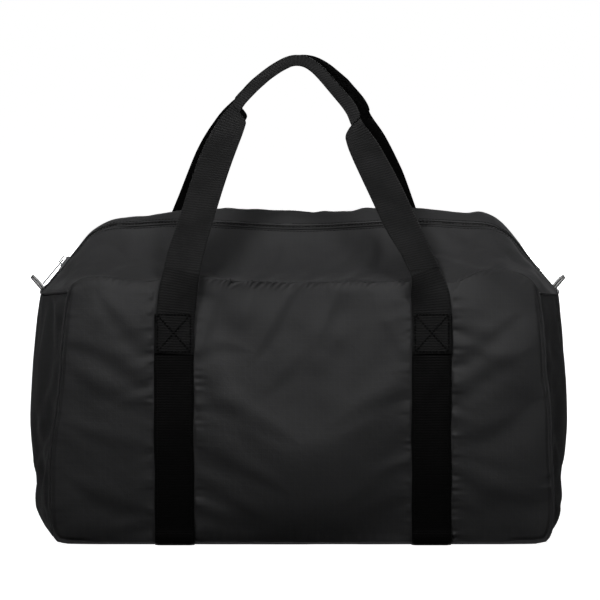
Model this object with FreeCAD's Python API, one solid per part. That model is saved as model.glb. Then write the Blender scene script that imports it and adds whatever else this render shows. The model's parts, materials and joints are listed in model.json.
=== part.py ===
"""Weekender bag: a soft nylon holdall with a zipped top, two webbing handles and a finger tab at each end.

Millimetres. +Z is up, +X runs along the bag to the right, -Y is the front. The origin is on the floor
under the middle of the bag. The cloth panels are thin shells cut along the bag's seams, the webbing lies
on their outer faces, and everything that moves (lids, handles, zip slider, puller, tabs) is clear of its
neighbours by a gap.
"""

import FreeCAD
import Part

import math
import os

V = FreeCAD.Vector

# ---------------------------------------------------------------- driving dimensions
CLOTH = 1.4  # modelled thickness of a cloth panel with its lining and seam allowance
WEBBING = 1.6  # thickness of the sewn webbing
WEBBING_WIDTH = 38.0
STRAP_X = 121.5  # middle of each webbing strap, from the middle of the bag
MOVING_GAP = 0.4  # between solids of different bodies
SEWN_GAP = 0.3  # between solids sewn together, so that curved faces never cross

SEAM_Y = 100.0  # the seams that join the gussets to the front and rear panels
PANEL_TOP = 264.0
PANEL_BOTTOM = 3.6
PANEL_HALF_BOTTOM = 241.5  # half width of the front panel at its lower corners
PANEL_HALF_TOP = 226.0
PANEL_TOP_RADIUS = 24.0
PANEL_BOTTOM_RADIUS = 15.0
BULGE_SPAN = 250.0  # half width over which a panel's bulge is measured
BULGE_EDGE = 1.5
BULGE_MID = 12.5

GUSSET_MID_Z = 105.0
GUSSET_MID_X = 263.0
GUSSET_DROP_LOW = 19.0  # how far the gusset pulls in at the floor
GUSSET_DROP_HIGH = 10.0  # and at its top seam
GUSSET_TOP_Z = 232.0
END_SEAM_FRONT_Z = 247.0  # the gusset's top seam, at the front and rear panels
END_SEAM_MID_Z = 233.0  # and under the zip

LID_HALF = 163.0  # half length of the part of the top that lifts
LID_FRONT_Y = 97.0
LID_FRONT_Z = 265.6
LID_EDGE_Y = 9.0  # the cloth's edge beside the zip
ZIP_Z = 303.0  # outer face of the cloth along the flat part of the zip
LID_HINGE_Y = 99.5
LID_HINGE_Z = 264.0
FRONT_TOP_BULGE = 3.0  # how far each half of the top stands out from a flat sheet, between seam and zip
REAR_TOP_BULGE = 9.0
SHOULDER_SHARE = 0.85  # part of that bulge left over the shoulders
END_SHARE = 0.4  # and at the ends of the zip
SHOULDER_END_RISE = 3.0  # but not less than this there

ZIP_SLOPE = math.radians(50)
ZIP_CORNER_RADIUS = 50.0
ZIP_END_X = 252.5
ZIP_END_Z = 236.0
SLIDER_AT = 38.4  # slider's place with the zip shut, measured up the slope from the end of the zip
SLIDER_HALF = 6.5
STOP_LENGTH = 3.6

HANDLE_PIVOT_Z = 226.0
HANDLE_PIVOT_OUT = 2.0  # the handle bends about a line this far outside the webbing's middle
THREAD = 0.9
HANDLE_FOLD_Z = 268.0  # where the handle starts to lean over the top
HANDLE_FOLD_OUT = 1.9  # how far outside the panel's top edge its middle is there
GRIP_TOP_Z = 458.0
GRIP_Y = 6.8
GRIP_WIDTH = 19.0
GRIP_THICK = 4.0
BOX_STITCH_LOW = 193.0
BOX_STITCH_HIGH = 224.0
BOX_STITCH_INSET = 3.0  # from the webbing's edges, and the grip's stitches from its edge too

BINDING_DEEP = 8.0  # bound seam allowances inside the front and rear panels
BINDING_THICK = 1.4
BINDING_INSET = 3.0  # from the panel's side edge, and from its top and bottom edges below
BINDING_TOP_INSET = 6.0
BINDING_BOTTOM_Z = 5.0
BINDING_HALF_TOP = 190.0
BINDING_HALF_BOTTOM = 210.0

TAB_LENGTH = 20.0
TAB_WIDTH = 22.0
TAB_THICK = 3.6
TAB_ROOT_X = 251.0
TAB_ROOT_Z = 238.5
TAB_LEAN = math.radians(35)  # from upright, outwards
TAB_ROOT_GAP = 3.0  # clear of the cloth, so that the tab can bend


# ---------------------------------------------------------------- outlines worked out from them
def panel_half(z):
    """Half width of the front and rear panels at a height, before their corners are rounded."""
    share = (z - PANEL_BOTTOM) / (PANEL_TOP - PANEL_BOTTOM)
    return PANEL_HALF_BOTTOM + share * (PANEL_HALF_TOP - PANEL_HALF_BOTTOM)


def bulge(z):
    """How far the filled front panel stands out past its seams at a height."""
    return BULGE_EDGE + BULGE_MID * math.sin(math.pi * z / PANEL_TOP)


def gusset_half(z):
    """Half width of the whole bag at a height, at the middle of the gusset."""
    if z < GUSSET_MID_Z:
        return GUSSET_MID_X - GUSSET_DROP_LOW * ((GUSSET_MID_Z - z) / GUSSET_MID_Z) ** 2.5
    return GUSSET_MID_X - GUSSET_DROP_HIGH * ((z - GUSSET_MID_Z) / (GUSSET_TOP_Z - GUSSET_MID_Z)) ** 2


def front_circle(z):
    """Centre y and radius of the front panel's outer arc at a height."""
    rise = bulge(z)
    radius = (BULGE_SPAN**2 + rise**2) / (2 * rise)
    return radius - SEAM_Y - rise, radius


def front_y(x, z, out=0.0):
    """y of the front panel's outer face, or of a face a distance outside it."""
    centre, radius = front_circle(z)
    return centre - math.sqrt((radius + out) ** 2 - x**2)


def heights(low, high, count):
    return [low + (high - low) * i / (count - 1) for i in range(count)]


# ---------------------------------------------------------------- shape helpers
def polyline(points):
    return Part.makePolygon([*points, points[0]])


def arc_band(p0, pm, p1, thick):
    """A planar wire round a thin band: an arc through three points and the same arc moved inwards."""
    centre = Part.Arc(p0, pm, p1).toShape().Curve.Center

    def inner(p):
        to_centre = centre - p
        return p + to_centre * (thick / to_centre.Length)

    edges = [
        Part.Arc(p0, pm, p1).toShape(),
        Part.makeLine(p1, inner(p1)),
        Part.Arc(inner(p1), inner(pm), inner(p0)).toShape(),
        Part.makeLine(inner(p0), p0),
    ]
    return Part.Wire(edges)


def loft(wires):
    return Part.makeLoft(wires, True, False)


def box(low, high):
    return Part.makeBox(high[0] - low[0], high[1] - low[1], high[2] - low[2], V(*low))


def mirror_x(shape):
    return shape.mirror(V(0, 0, 0), V(1, 0, 0))


def mirror_y(shape):
    return shape.mirror(V(0, 0, 0), V(0, 1, 0))


def both_sides(shape):
    return [shape, mirror_x(shape)]


# ---------------------------------------------------------------- cloth body
def panel_outline():
    """Front view of the front panel: straight sides that lean in, with rounded corners."""

    def corner(x, z, radius, side_first, top):
        start = V(x, 0, z - radius) if top else V(x, 0, z + radius)
        end = V(x - radius, 0, z)
        turn = radius * (1 - math.sqrt(0.5))
        middle = V(x - turn, 0, z - turn) if top else V(x - turn, 0, z + turn)
        return (start, middle, end) if side_first else (end, middle, start)

    low = corner(PANEL_HALF_BOTTOM, PANEL_BOTTOM, PANEL_BOTTOM_RADIUS, False, False)
    high = corner(PANEL_HALF_TOP, PANEL_TOP, PANEL_TOP_RADIUS, True, True)
    right = [Part.Arc(*low).toShape(), Part.makeLine(low[2], high[0]), Part.Arc(*high).toShape()]

    def flip(p):
        return V(-p.x, p.y, p.z)

    left = [
        Part.Arc(*[flip(p) for p in reversed(high)]).toShape(),
        Part.makeLine(flip(high[0]), flip(low[2])),
        Part.Arc(*[flip(p) for p in reversed(low)]).toShape(),
    ]
    top = Part.makeLine(high[2], flip(high[2]))
    bottom = Part.makeLine(flip(low[0]), low[0])
    return Part.Wire([*right, top, *left, bottom])


def front_panel():
    sections = []
    for z in heights(PANEL_BOTTOM - 1, PANEL_TOP + 1, 9):
        ends = [V(sign * BULGE_SPAN, -SEAM_Y, z) for sign in (-1, 1)]
        middle = V(0, front_y(0, z), z)
        sections.append(arc_band(ends[0], middle, ends[1], CLOTH))
    prism = Part.Face(panel_outline()).extrude(V(0, -2 * SEAM_Y, 0))
    return loft(sections).common(prism)


def left_gusset():
    edge_y = SEAM_Y - CLOTH - SEWN_GAP
    sections = []
    for z in heights(PANEL_BOTTOM, END_SEAM_FRONT_Z + 4, 8):
        corner_x = -panel_half(z)
        sections.append(
            arc_band(V(corner_x, -edge_y, z), V(-gusset_half(z), 0, z), V(corner_x, edge_y, z), CLOTH)
        )
    side_view = polyline(
        [
            V(0, -SEAM_Y, 0),
            V(0, SEAM_Y, 0),
            V(0, SEAM_Y, END_SEAM_FRONT_Z),
            V(0, 0, END_SEAM_MID_Z),
            V(0, -SEAM_Y, END_SEAM_FRONT_Z),
        ]
    )
    prism = Part.Face(side_view).extrude(V(-1.2 * GUSSET_MID_X, 0, 0))
    return loft(sections).common(prism)


def base_panel():
    low = WEBBING + 0.2
    side_y = SEAM_Y - 1
    side_x = PANEL_HALF_BOTTOM - 9
    end_x = gusset_half(0) - 2
    right = Part.Arc(V(side_x, -side_y, low), V(end_x, 0, low), V(side_x, side_y, low)).toShape()
    left = Part.Arc(V(-side_x, side_y, low), V(-end_x, 0, low), V(-side_x, -side_y, low)).toShape()
    front = Part.makeLine(V(-side_x, -side_y, low), V(side_x, -side_y, low))
    rear = Part.makeLine(V(side_x, side_y, low), V(-side_x, side_y, low))
    return Part.Face(Part.Wire([front, right, rear, left])).extrude(V(0, 0, CLOTH))


def seam_binding():
    """Bound seam allowances inside the front panel's four edges, as four strips of tape."""
    side_gap = 5.0  # from the seam's plane to the upright strips, and to the level ones below
    level_gap = 3.5
    strips = []
    along, across = V(0.6, 0.8, 0), V(-0.8, 0.6, 0)
    sections = []
    for z in heights(10, 236, 6):
        start = V(-panel_half(z) + BINDING_INSET, -SEAM_Y + side_gap, z)
        far = start + along * BINDING_DEEP
        sections.append(polyline([start, far, far + across * BINDING_THICK, start + across * BINDING_THICK]))
    strips += both_sides(loft(sections))
    y0 = -SEAM_Y + level_gap
    y1 = y0 + BINDING_DEEP
    top_z = PANEL_TOP - BINDING_TOP_INSET
    strips.append(box((-BINDING_HALF_TOP, y0, top_z), (BINDING_HALF_TOP, y1, top_z + BINDING_THICK)))
    low_z = BINDING_BOTTOM_Z
    strips.append(box((-BINDING_HALF_BOTTOM, y0, low_z), (BINDING_HALF_BOTTOM, y1, low_z + BINDING_THICK)))
    return strips


# ---------------------------------------------------------------- webbing sewn on the body
def front_strap():
    """Webbing from the floor up to the handle's box stitch, on the left of the front panel."""
    edges_x = (-STRAP_X - WEBBING_WIDTH / 2, -STRAP_X + WEBBING_WIDTH / 2)
    sections = []
    for z in heights(PANEL_BOTTOM, HANDLE_PIVOT_Z - MOVING_GAP, 8):

        def at(x, out, z=z):
            return V(x, front_y(x, z, out), z)

        inner, outer = SEWN_GAP, SEWN_GAP + WEBBING
        left_x, right_x = edges_x
        edges = [
            Part.Arc(at(left_x, outer), at(-STRAP_X, outer), at(right_x, outer)).toShape(),
            Part.makeLine(at(right_x, outer), at(right_x, inner)),
            Part.Arc(at(right_x, inner), at(-STRAP_X, inner), at(left_x, inner)).toShape(),
            Part.makeLine(at(left_x, inner), at(left_x, outer)),
        ]
        sections.append(Part.Wire(edges))
    return loft(sections)


def base_strap():
    half_y = SEAM_Y + 2
    half_x = WEBBING_WIDTH / 2
    return box((-STRAP_X - half_x, -half_y, 0), (-STRAP_X + half_x, half_y, WEBBING))


def box_stitching():
    """The sewn square with a cross that holds each end of a handle, as bars of thread on the webbing."""
    half_x = WEBBING_WIDTH / 2 - BOX_STITCH_INSET
    x0, x1 = -STRAP_X - half_x, -STRAP_X + half_x
    z0, z1 = BOX_STITCH_LOW, BOX_STITCH_HIGH
    out = SEWN_GAP + WEBBING + THREAD / 2 + SEWN_GAP

    def surface(x, z):
        return V(x, front_y(x, z, out), z)

    def bar(a, b):
        start, end = surface(*a), surface(*b)
        return Part.makeCylinder(THREAD / 2, (end - start).Length, start, end - start)

    square = [(x0, z0), (x1, z0), (x1, z1), (x0, z1)]
    bars = [bar(square[i], square[(i + 1) % 4]) for i in range(4)]
    bars += [bar(square[0], square[2]), bar(square[1], square[3])]
    whole = bars[0].fuse(bars[1:])
    return both_sides(whole)


# ---------------------------------------------------------------- handles
def handle_foot_y():
    return front_y(STRAP_X - WEBBING_WIDTH / 2, HANDLE_PIVOT_Z) - MOVING_GAP - WEBBING / 2


def handle_pivot_y():
    return handle_foot_y() - HANDLE_PIVOT_OUT


def handle_fold_y():
    return front_y(STRAP_X, PANEL_TOP) - HANDLE_FOLD_OUT


def handle_y(z):
    """Middle of the front handle's thickness: up the panel, then a straight lean to the other handle."""
    if z < HANDLE_FOLD_Z:
        share = (z - HANDLE_PIVOT_Z) / (HANDLE_FOLD_Z - HANDLE_PIVOT_Z)
        return handle_foot_y() + (handle_fold_y() - handle_foot_y()) * share
    share = (z - HANDLE_FOLD_Z) / (GRIP_TOP_Z - HANDLE_FOLD_Z)
    return handle_fold_y() + (-GRIP_Y - handle_fold_y()) * share


# middle line of the front handle, as (x, z): its left leg from the foot up, then the whole grip
LEG_PATH = [
    (-121.4, 228),
    (-120.5, 246),
    (-118.5, 268),
    (-111, 296),
    (-97, 324),
    (-84, 354),
    (-72, 386),
    (-63, 412),
]
GRIP_PATH = [(-63, 412), (-47, 431), (-27, 449), (0, 458), (27, 449), (47, 431), (63, 412)]


def handle_frames():
    """Middle point, direction of run and direction across the webbing, along the whole handle."""
    right_leg = [(-x, z) for x, z in reversed(LEG_PATH)]
    path = LEG_PATH + GRIP_PATH[1:] + right_leg[1:]
    points = [V(x, handle_y(z), z) for x, z in path]
    frames = []
    for i, p in enumerate(points):
        before, after = points[max(i - 1, 0)], points[min(i + 1, len(points) - 1)]
        run = (after - before).normalize()
        up = V(0, handle_y(p.z + 1) - handle_y(p.z - 1), 2)
        face = up.cross(V(1, 0, 0)).normalize()
        frames.append((p, run, face.cross(run).normalize()))
    return frames


def webbing_along(frames, width, thick):
    sections = []
    for p, run, across in frames:
        half_w, half_t = across * (width / 2), run.cross(across).normalize() * (thick / 2)
        one, other = p - half_w, p + half_w
        sections.append(polyline([one - half_t, other - half_t, other + half_t, one + half_t]))
    return Part.makeLoft(sections, True, True)


def handle_leg():
    """The webbing's full width, from the box stitching to where it is folded in half for the grip."""
    frames = handle_frames()[: len(LEG_PATH)]
    end, run, across = frames[-1]
    frames[-1] = (end - run * SEWN_GAP, run, across)
    return webbing_along(frames, WEBBING_WIDTH, WEBBING)


def handle_grip():
    """The webbing folded in half along its length and sewn."""
    first = len(LEG_PATH) - 1
    return webbing_along(handle_frames()[first : first + len(GRIP_PATH)], GRIP_WIDTH, GRIP_THICK)


def grip_stitching():
    """The row of thread that holds the folded grip shut, along its lower edge on the front face."""
    bars = []
    inset = GRIP_WIDTH / 2 - BOX_STITCH_INSET
    proud = GRIP_THICK / 2 + 1.4  # from the grip's middle to the thread's middle
    short = 1.0  # each bar stops this far from its neighbours
    for (x0, z0), (x1, z1) in zip(GRIP_PATH[1:-2], GRIP_PATH[2:-1]):
        dx, dz = x1 - x0, z1 - z0
        long = math.hypot(dx, dz)
        nx, nz = dz / long * inset, -dx / long * inset
        a = V(x0 + nx, handle_y(z0 + nz) - proud, z0 + nz)
        b = V(x1 + nx, handle_y(z1 + nz) - proud, z1 + nz)
        step = (b - a).normalize()
        bars.append(Part.makeCylinder(THREAD / 2, (b - a).Length - 2 * short, a + step * short, step))
    return bars


# ---------------------------------------------------------------- zipped top
def lid_section(x):
    """Cross-section of the front half of the top, from the front seam up to the zip."""
    return V(x, -LID_FRONT_Y, LID_FRONT_Z), V(x, -LID_EDGE_Y, ZIP_Z), V(0, -0.35, 1)


def slope_point(u, n=0.0, y=0.0):
    """A point on the left slope of the zip: u up the slope from its end, n out of the cloth."""
    along = V(math.cos(ZIP_SLOPE), 0, math.sin(ZIP_SLOPE))
    out = V(-math.sin(ZIP_SLOPE), 0, math.cos(ZIP_SLOPE))
    return V(-ZIP_END_X, y, ZIP_END_Z) + along * u + out * n


def slope_length():
    """Length of the straight slope, up to where the shoulder's curve starts."""
    rise = ZIP_Z - ZIP_END_Z
    return rise / math.sin(ZIP_SLOPE) - ZIP_CORNER_RADIUS * math.tan(ZIP_SLOPE / 2)


def shoulder_top():
    """x where the shoulder's curve meets the flat part of the zip."""
    corner_x = -ZIP_END_X + (ZIP_Z - ZIP_END_Z) / math.tan(ZIP_SLOPE)
    return corner_x + ZIP_CORNER_RADIUS * math.tan(ZIP_SLOPE / 2)


def band_section(low, high, guess, rise):
    chord = (high - low).normalize()
    out = (guess - chord * guess.dot(chord)).normalize()
    return arc_band(low, (low + high) * 0.5 + out * rise, high, CLOTH)


def front_top_panel(rise):
    section = band_section(*lid_section(-LID_HALF), rise)
    return Part.Face(section).extrude(V(2 * LID_HALF, 0, 0))


def front_left_shoulder(rise):
    start_x = -LID_HALF - MOVING_GAP
    curve = ZIP_SLOPE / 2
    curve_x = shoulder_top() - ZIP_CORNER_RADIUS * math.sin(curve)
    curve_z = ZIP_Z - ZIP_CORNER_RADIUS * (1 - math.cos(curve))
    upper, lower = slope_point(slope_length()), slope_point(0.0)
    part_rise, end_rise = rise * SHOULDER_SHARE, max(rise * END_SHARE, SHOULDER_END_RISE)
    rows = [  # seam point, zip point, rough direction out of the cloth, and bulge
        (*lid_section(start_x), rise),
        (V(-195, -LID_FRONT_Y, LID_FRONT_Z), V(curve_x, -LID_EDGE_Y, curve_z), V(-0.3, -0.4, 0.9), part_rise),
        (V(-218, -LID_FRONT_Y, 260), V(upper.x, -LID_EDGE_Y, upper.z), V(-0.6, -0.4, 0.75), part_rise),
        (V(-226, -LID_FRONT_Y, 247.4), V(lower.x, -LID_EDGE_Y, lower.z), V(-1, 0, 0), end_rise),
    ]
    return loft([band_section(*row) for row in rows])


def zip_band(low_n, high_n, y0, y1, end_u):
    """A strip of the zip over the left shoulder, between two distances from the cloth's outer face."""
    start_x = -LID_HALF - MOVING_GAP
    top_x, radius = shoulder_top(), ZIP_CORNER_RADIUS
    long = slope_length()

    def curve(n):
        turn = ZIP_SLOPE / 2
        out = radius + n
        middle = V(top_x - out * math.sin(turn), y0, ZIP_Z - radius + out * math.cos(turn))
        return [V(top_x, y0, ZIP_Z + n), middle, slope_point(long, n, y0)]

    outer, inner = curve(high_n), curve(low_n)
    end_out, end_in = slope_point(end_u, high_n, y0), slope_point(end_u, low_n, y0)
    edges = [
        Part.Arc(*outer).toShape(),
        Part.makeLine(outer[2], end_out),
        Part.makeLine(end_out, end_in),
        Part.makeLine(end_in, inner[2]),
        Part.Arc(*reversed(inner)).toShape(),
    ]
    if start_x - top_x > 0.05:
        edges = [Part.makeLine(V(start_x, y0, ZIP_Z + high_n), outer[0]), *edges]
        edges += [Part.makeLine(inner[0], V(start_x, y0, ZIP_Z + low_n))]
        edges += [Part.makeLine(V(start_x, y0, ZIP_Z + low_n), V(start_x, y0, ZIP_Z + high_n))]
    else:
        edges += [Part.makeLine(inner[0], outer[0])]
    return Part.Face(Part.Wire(edges)).extrude(V(0, y1 - y0, 0))


# the zip: distances out from the cloth's face (N), across from the zip's middle (Y), up the slope (U)
TAPE_N = (-1.6, -0.8)
COIL_N = (-0.75, 1.0)
TAPE_Y = (-8.6, -0.4)
COIL_Y = (-3.0, -0.4)
TAPE_END_U = 2.0
COIL_END_U = SLIDER_AT - SLIDER_HALF - MOVING_GAP + 0.05  # the stops take the place of the last teeth


def lid_strip(n, y):
    return box((-LID_HALF, y[0], ZIP_Z + n[0]), (LID_HALF, y[1], ZIP_Z + n[1]))


def slope_box(u, y, n):
    """A block laid on the left slope: u along it, y across it and n out of it, each as (low, high)."""
    block = box((u[0], y[0], n[0]), (u[1], y[1], n[1]))
    placed = block.copy()
    placed.rotate(V(0, 0, 0), V(0, 1, 0), -math.degrees(ZIP_SLOPE))
    placed.translate(V(-ZIP_END_X, 0, ZIP_END_Z))
    return placed


def stop_span():
    top = SLIDER_AT - SLIDER_HALF - MOVING_GAP
    return top - STOP_LENGTH, top


STOP_N = (-0.75, 1.3)
STOP_HALF = 3.2


def zip_top_stops():
    """Two clips that stop the slider when the zip is shut."""
    clip = slope_box(stop_span(), (0.4, STOP_HALF), STOP_N)
    return [clip, mirror_y(clip)]


def zip_bottom_stop():
    """One clip across both rows of teeth, at the other end of the zip."""
    return mirror_x(slope_box(stop_span(), (-STOP_HALF, STOP_HALF), STOP_N))


def slider_body():
    """Slider: two plates joined by a post between the teeth, side flanges and a bridge for the puller."""
    u0, u1 = SLIDER_AT - SLIDER_HALF, SLIDER_AT + SLIDER_HALF
    half, flange = 4.4, 1.1
    upper = slope_box((u0, u1), (-half, half), (1.4, 2.6))
    lower = slope_box((u0, u1), (-half, half), (-3.2, -2.0))
    post = slope_box((u1 - 5, u1 - 0.5), (-0.25, 0.25), (-2.4, 1.8))
    flanges = [slope_box((u0, u1), y, (-0.3, 1.8)) for y in ((-half, flange - half), (half - flange, half))]
    reach, leg, narrow = 4.6, 1.4, 1.0
    leg_spans = [(SLIDER_AT - reach, SLIDER_AT - reach + leg), (SLIDER_AT + reach - leg, SLIDER_AT + reach)]
    legs = [slope_box(u, (-narrow, narrow), (2.2, 6.0)) for u in leg_spans]
    bridge = slope_box((SLIDER_AT - reach, SLIDER_AT + reach), (-narrow, narrow), (5.0, 6.2))
    return upper.fuse([lower, post, *flanges, *legs, bridge])


PULLER_N = 3.9  # height of the puller's bar over the cloth, between the slider's plate and its bridge


def puller():
    """Zip puller hanging down the slope: a bar through the bridge, two arms and a tab with a round end."""
    n = (PULLER_N - 0.6, PULLER_N + 0.6)
    half, arm, bar_half, long = 3.4, 1.4, 0.7, 28.0
    bar = slope_box((SLIDER_AT - bar_half, SLIDER_AT + bar_half), (-half, half), n)
    arm_spans = ((-half, arm - half), (half - arm, half))
    arms = [slope_box((SLIDER_AT - 9, SLIDER_AT + bar_half), y, n) for y in arm_spans]
    tab = slope_box((SLIDER_AT - long, SLIDER_AT - 7.5), (-half, half), n)
    tip_centre = slope_point(SLIDER_AT - long, n[0])
    out = V(-math.sin(ZIP_SLOPE), 0, math.cos(ZIP_SLOPE))
    tip = Part.makeCylinder(half, n[1] - n[0], tip_centre, out)
    return bar.fuse([*arms, tab, tip])


# ---------------------------------------------------------------- finger tabs
def left_tab():
    """A folded cloth tab that stands out of the seam at the zip's end."""
    radius, half, top = TAB_THICK / 2, TAB_WIDTH / 2, TAB_LENGTH - TAB_THICK / 2
    flat = box((-radius, -half, TAB_ROOT_GAP), (radius, half, top))
    fold = Part.makeCylinder(radius, TAB_WIDTH, V(0, -half, top), V(0, 1, 0))
    tab = flat.fuse(fold)
    tab.rotate(V(0, 0, 0), V(0, 1, 0), -math.degrees(TAB_LEAN))
    tab.translate(V(-TAB_ROOT_X, 0, TAB_ROOT_Z))
    return tab


# ---------------------------------------------------------------- nodes
def front_and_rear(name, shapes):
    """One node for the front of the bag, and the same for the rear."""
    return {f"front_{name}": shapes, f"rear_{name}": [mirror_y(s) for s in shapes]}


def left_and_right(name, shapes):
    return {f"left_{name}": shapes, f"right_{name}": [mirror_x(s) for s in shapes]}


def all_nodes():
    nodes = {"base_panel": [base_panel()]}
    nodes |= front_and_rear("panel", [front_panel()])
    nodes |= left_and_right("gusset", [left_gusset()])
    nodes |= front_and_rear("seam_binding", seam_binding())
    strap = front_strap()
    nodes |= front_and_rear("left_strap", [strap])
    nodes |= front_and_rear("right_strap", [mirror_x(strap)])
    nodes |= left_and_right("base_strap", [base_strap()])
    nodes |= front_and_rear("box_stitching", box_stitching())
    leg = handle_leg()
    nodes |= front_and_rear("handle_left_leg", [leg])
    nodes |= front_and_rear("handle_right_leg", [mirror_x(leg)])
    nodes |= front_and_rear("handle_grip", [handle_grip()])
    nodes |= front_and_rear("grip_stitching", grip_stitching())
    nodes["front_top_panel"] = [front_top_panel(FRONT_TOP_BULGE)]
    nodes["rear_top_panel"] = [mirror_y(front_top_panel(REAR_TOP_BULGE))]
    front_shoulder = front_left_shoulder(FRONT_TOP_BULGE)
    rear_shoulder = mirror_y(front_left_shoulder(REAR_TOP_BULGE))
    for side, shoulder in (("front", front_shoulder), ("rear", rear_shoulder)):
        nodes[f"{side}_left_shoulder"] = [shoulder]
        nodes[f"{side}_right_shoulder"] = [mirror_x(shoulder)]
    nodes |= front_and_rear("zip_tape", [lid_strip(TAPE_N, TAPE_Y)])
    nodes |= front_and_rear("zip_coil", [lid_strip(COIL_N, COIL_Y)])
    nodes |= front_and_rear("zip_tape_ends", both_sides(zip_band(*TAPE_N, *TAPE_Y, TAPE_END_U)))
    nodes |= front_and_rear("zip_coil_ends", both_sides(zip_band(*COIL_N, *COIL_Y, COIL_END_U)))
    nodes["zip_top_stops"] = zip_top_stops()
    nodes["zip_bottom_stop"] = [zip_bottom_stop()]
    nodes["zip_slider"] = [slider_body()]
    nodes["zip_puller"] = [puller()]
    nodes |= left_and_right("tab", [left_tab()])
    return nodes


def main():
    os.makedirs("parts", exist_ok=True)
    for name, shapes in all_nodes().items():
        solids = [solid for shape in shapes for solid in shape.Solids]
        bad = [s for s in solids if not s.isValid() or s.Volume <= 0]
        if bad or not solids:
            raise SystemExit(f"{name} has {len(bad)} bad solids of {len(solids)}")
        whole = solids[0] if len(solids) == 1 else Part.makeCompound(solids)
        whole.exportStep(f"parts/{name}.step")
        print(name, len(solids), round(sum(s.Volume for s in solids) / 1000, 2), "cm3")
    print("lid hinges at y", LID_HINGE_Y, "z", LID_HINGE_Z)
    print("handle hinges at y", round(handle_pivot_y(), 3), "z", HANDLE_PIVOT_Z)


main()
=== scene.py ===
"""Weekender bag in black nylon: the looks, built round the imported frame, in metres.

The body is one closed cloth shell (front and rear panels, two end gussets, base and zipped top) that is
filled by a cloth simulation with its seams held, then cut into its panels. Webbing, stitches, zip and tabs
are modelled on it.
"""

import json
import math

import bpy
import numpy as np
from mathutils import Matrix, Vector
from mathutils.bvhtree import BVHTree


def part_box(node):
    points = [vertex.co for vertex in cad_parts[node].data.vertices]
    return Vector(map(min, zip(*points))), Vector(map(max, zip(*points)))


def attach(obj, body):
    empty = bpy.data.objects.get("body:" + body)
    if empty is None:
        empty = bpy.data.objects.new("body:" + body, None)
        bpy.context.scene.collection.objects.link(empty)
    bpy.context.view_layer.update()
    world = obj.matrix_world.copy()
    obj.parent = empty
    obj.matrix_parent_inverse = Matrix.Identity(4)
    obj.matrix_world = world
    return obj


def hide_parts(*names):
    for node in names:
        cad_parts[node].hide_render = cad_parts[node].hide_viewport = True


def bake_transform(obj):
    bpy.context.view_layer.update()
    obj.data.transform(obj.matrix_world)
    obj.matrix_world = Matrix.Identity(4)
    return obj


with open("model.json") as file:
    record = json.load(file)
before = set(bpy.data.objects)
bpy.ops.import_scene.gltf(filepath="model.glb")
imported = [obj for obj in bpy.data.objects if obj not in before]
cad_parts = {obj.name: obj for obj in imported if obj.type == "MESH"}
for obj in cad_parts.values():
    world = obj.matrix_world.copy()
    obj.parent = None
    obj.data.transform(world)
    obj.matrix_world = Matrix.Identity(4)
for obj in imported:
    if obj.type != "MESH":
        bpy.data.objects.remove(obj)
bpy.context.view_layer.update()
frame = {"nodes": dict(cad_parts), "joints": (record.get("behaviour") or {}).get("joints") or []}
scene = bpy.context.scene

# ---------------------------------------------------------------- driving sizes, in metres
SEAM_Y = 0.100  # the front and rear seam loops lie in these planes
BULGE_EDGE, BULGE_MID, BULGE_SPAN, BULGE_TOP = 0.0015, 0.0125, 0.250, 0.264  # how the filled panels stand out
ZIP_EDGE = 0.0070  # from the zip's middle to the folded edge of the cloth beside it
ZIP_SLOPE = math.radians(50)
ZIP_END = (-0.2525, 0.236)  # left end of the zip, as (x, z)
ZIP_TOP = 0.303
ZIP_RADIUS = 0.050
ZIP_SAG = 0.0025
ACROSS, UP = 96, 52  # cells across and up a panel
SIDE_CELLS = 19  # cells from a seam loop to the zip's edge
END_CELLS = 8  # cells over which the top takes on the shape of the ends
CLOTH = 0.0006
WEBBING = 0.0016
RIM_WIDE = 0.012  # beside its seam, over which a panel comes out to its filled shape
SIM_FRAMES = 45
REAR_HOLD, FRONT_HOLD = 0.5, 0.06  # how firmly the stiffened top keeps its shape as the bag is filled
REAR_ARCH = 0.022  # how far the rear half of the top stands over the straight line from the zip to its seam
STRAP_AT = {"left": -0.1203, "right": 0.1268}  # middles of the webbing, as the filled bag carries them

strap_low, strap_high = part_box("front_left_strap")
STRAP_HALF = (strap_high.x - strap_low.x) / 2
STRAP_TOP = strap_high.z
PIVOT = {j["name"]: Vector(j["pos_m"]) for j in frame["joints"] if "pos_m" in j}


def new_object(name, verts, faces, smooth=True):
    mesh = bpy.data.meshes.new(name)
    mesh.from_pydata([tuple(map(float, v)) for v in verts], [], [tuple(map(int, f)) for f in faces])
    mesh.update()
    mesh.polygons.foreach_set("use_smooth", [smooth] * len(mesh.polygons))
    obj = bpy.data.objects.new(name, mesh)
    scene.collection.objects.link(obj)
    return obj


# ---------------------------------------------------------------- camera, light and floor
def make_camera():
    """A long lens a little above the bag's middle, straight at its front."""
    distance, rise = 5.0, math.radians(6)
    target = Vector((0.0005, 0, 0.2281))
    data = bpy.data.cameras.new("camera")
    data.sensor_width = 36
    data.lens = 306.7
    data.clip_end = 50
    camera = bpy.data.objects.new("camera", data)
    scene.collection.objects.link(camera)
    back = Vector((0, -math.cos(rise), math.sin(rise)))
    camera.location = target + back * distance
    camera.rotation_euler = (-back).to_track_quat("-Z", "Y").to_euler()
    scene.camera = camera


def area_light(name, place, aim, size, power, spread=180):
    data = bpy.data.lights.new(name, "AREA")
    data.shape = "RECTANGLE"
    data.size, data.size_y = size
    data.energy = power
    data.spread = math.radians(spread)
    light = bpy.data.objects.new(name, data)
    scene.collection.objects.link(light)
    light.location = place
    light.rotation_euler = (Vector(aim) - Vector(place)).to_track_quat("-Z", "Y").to_euler()


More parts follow.
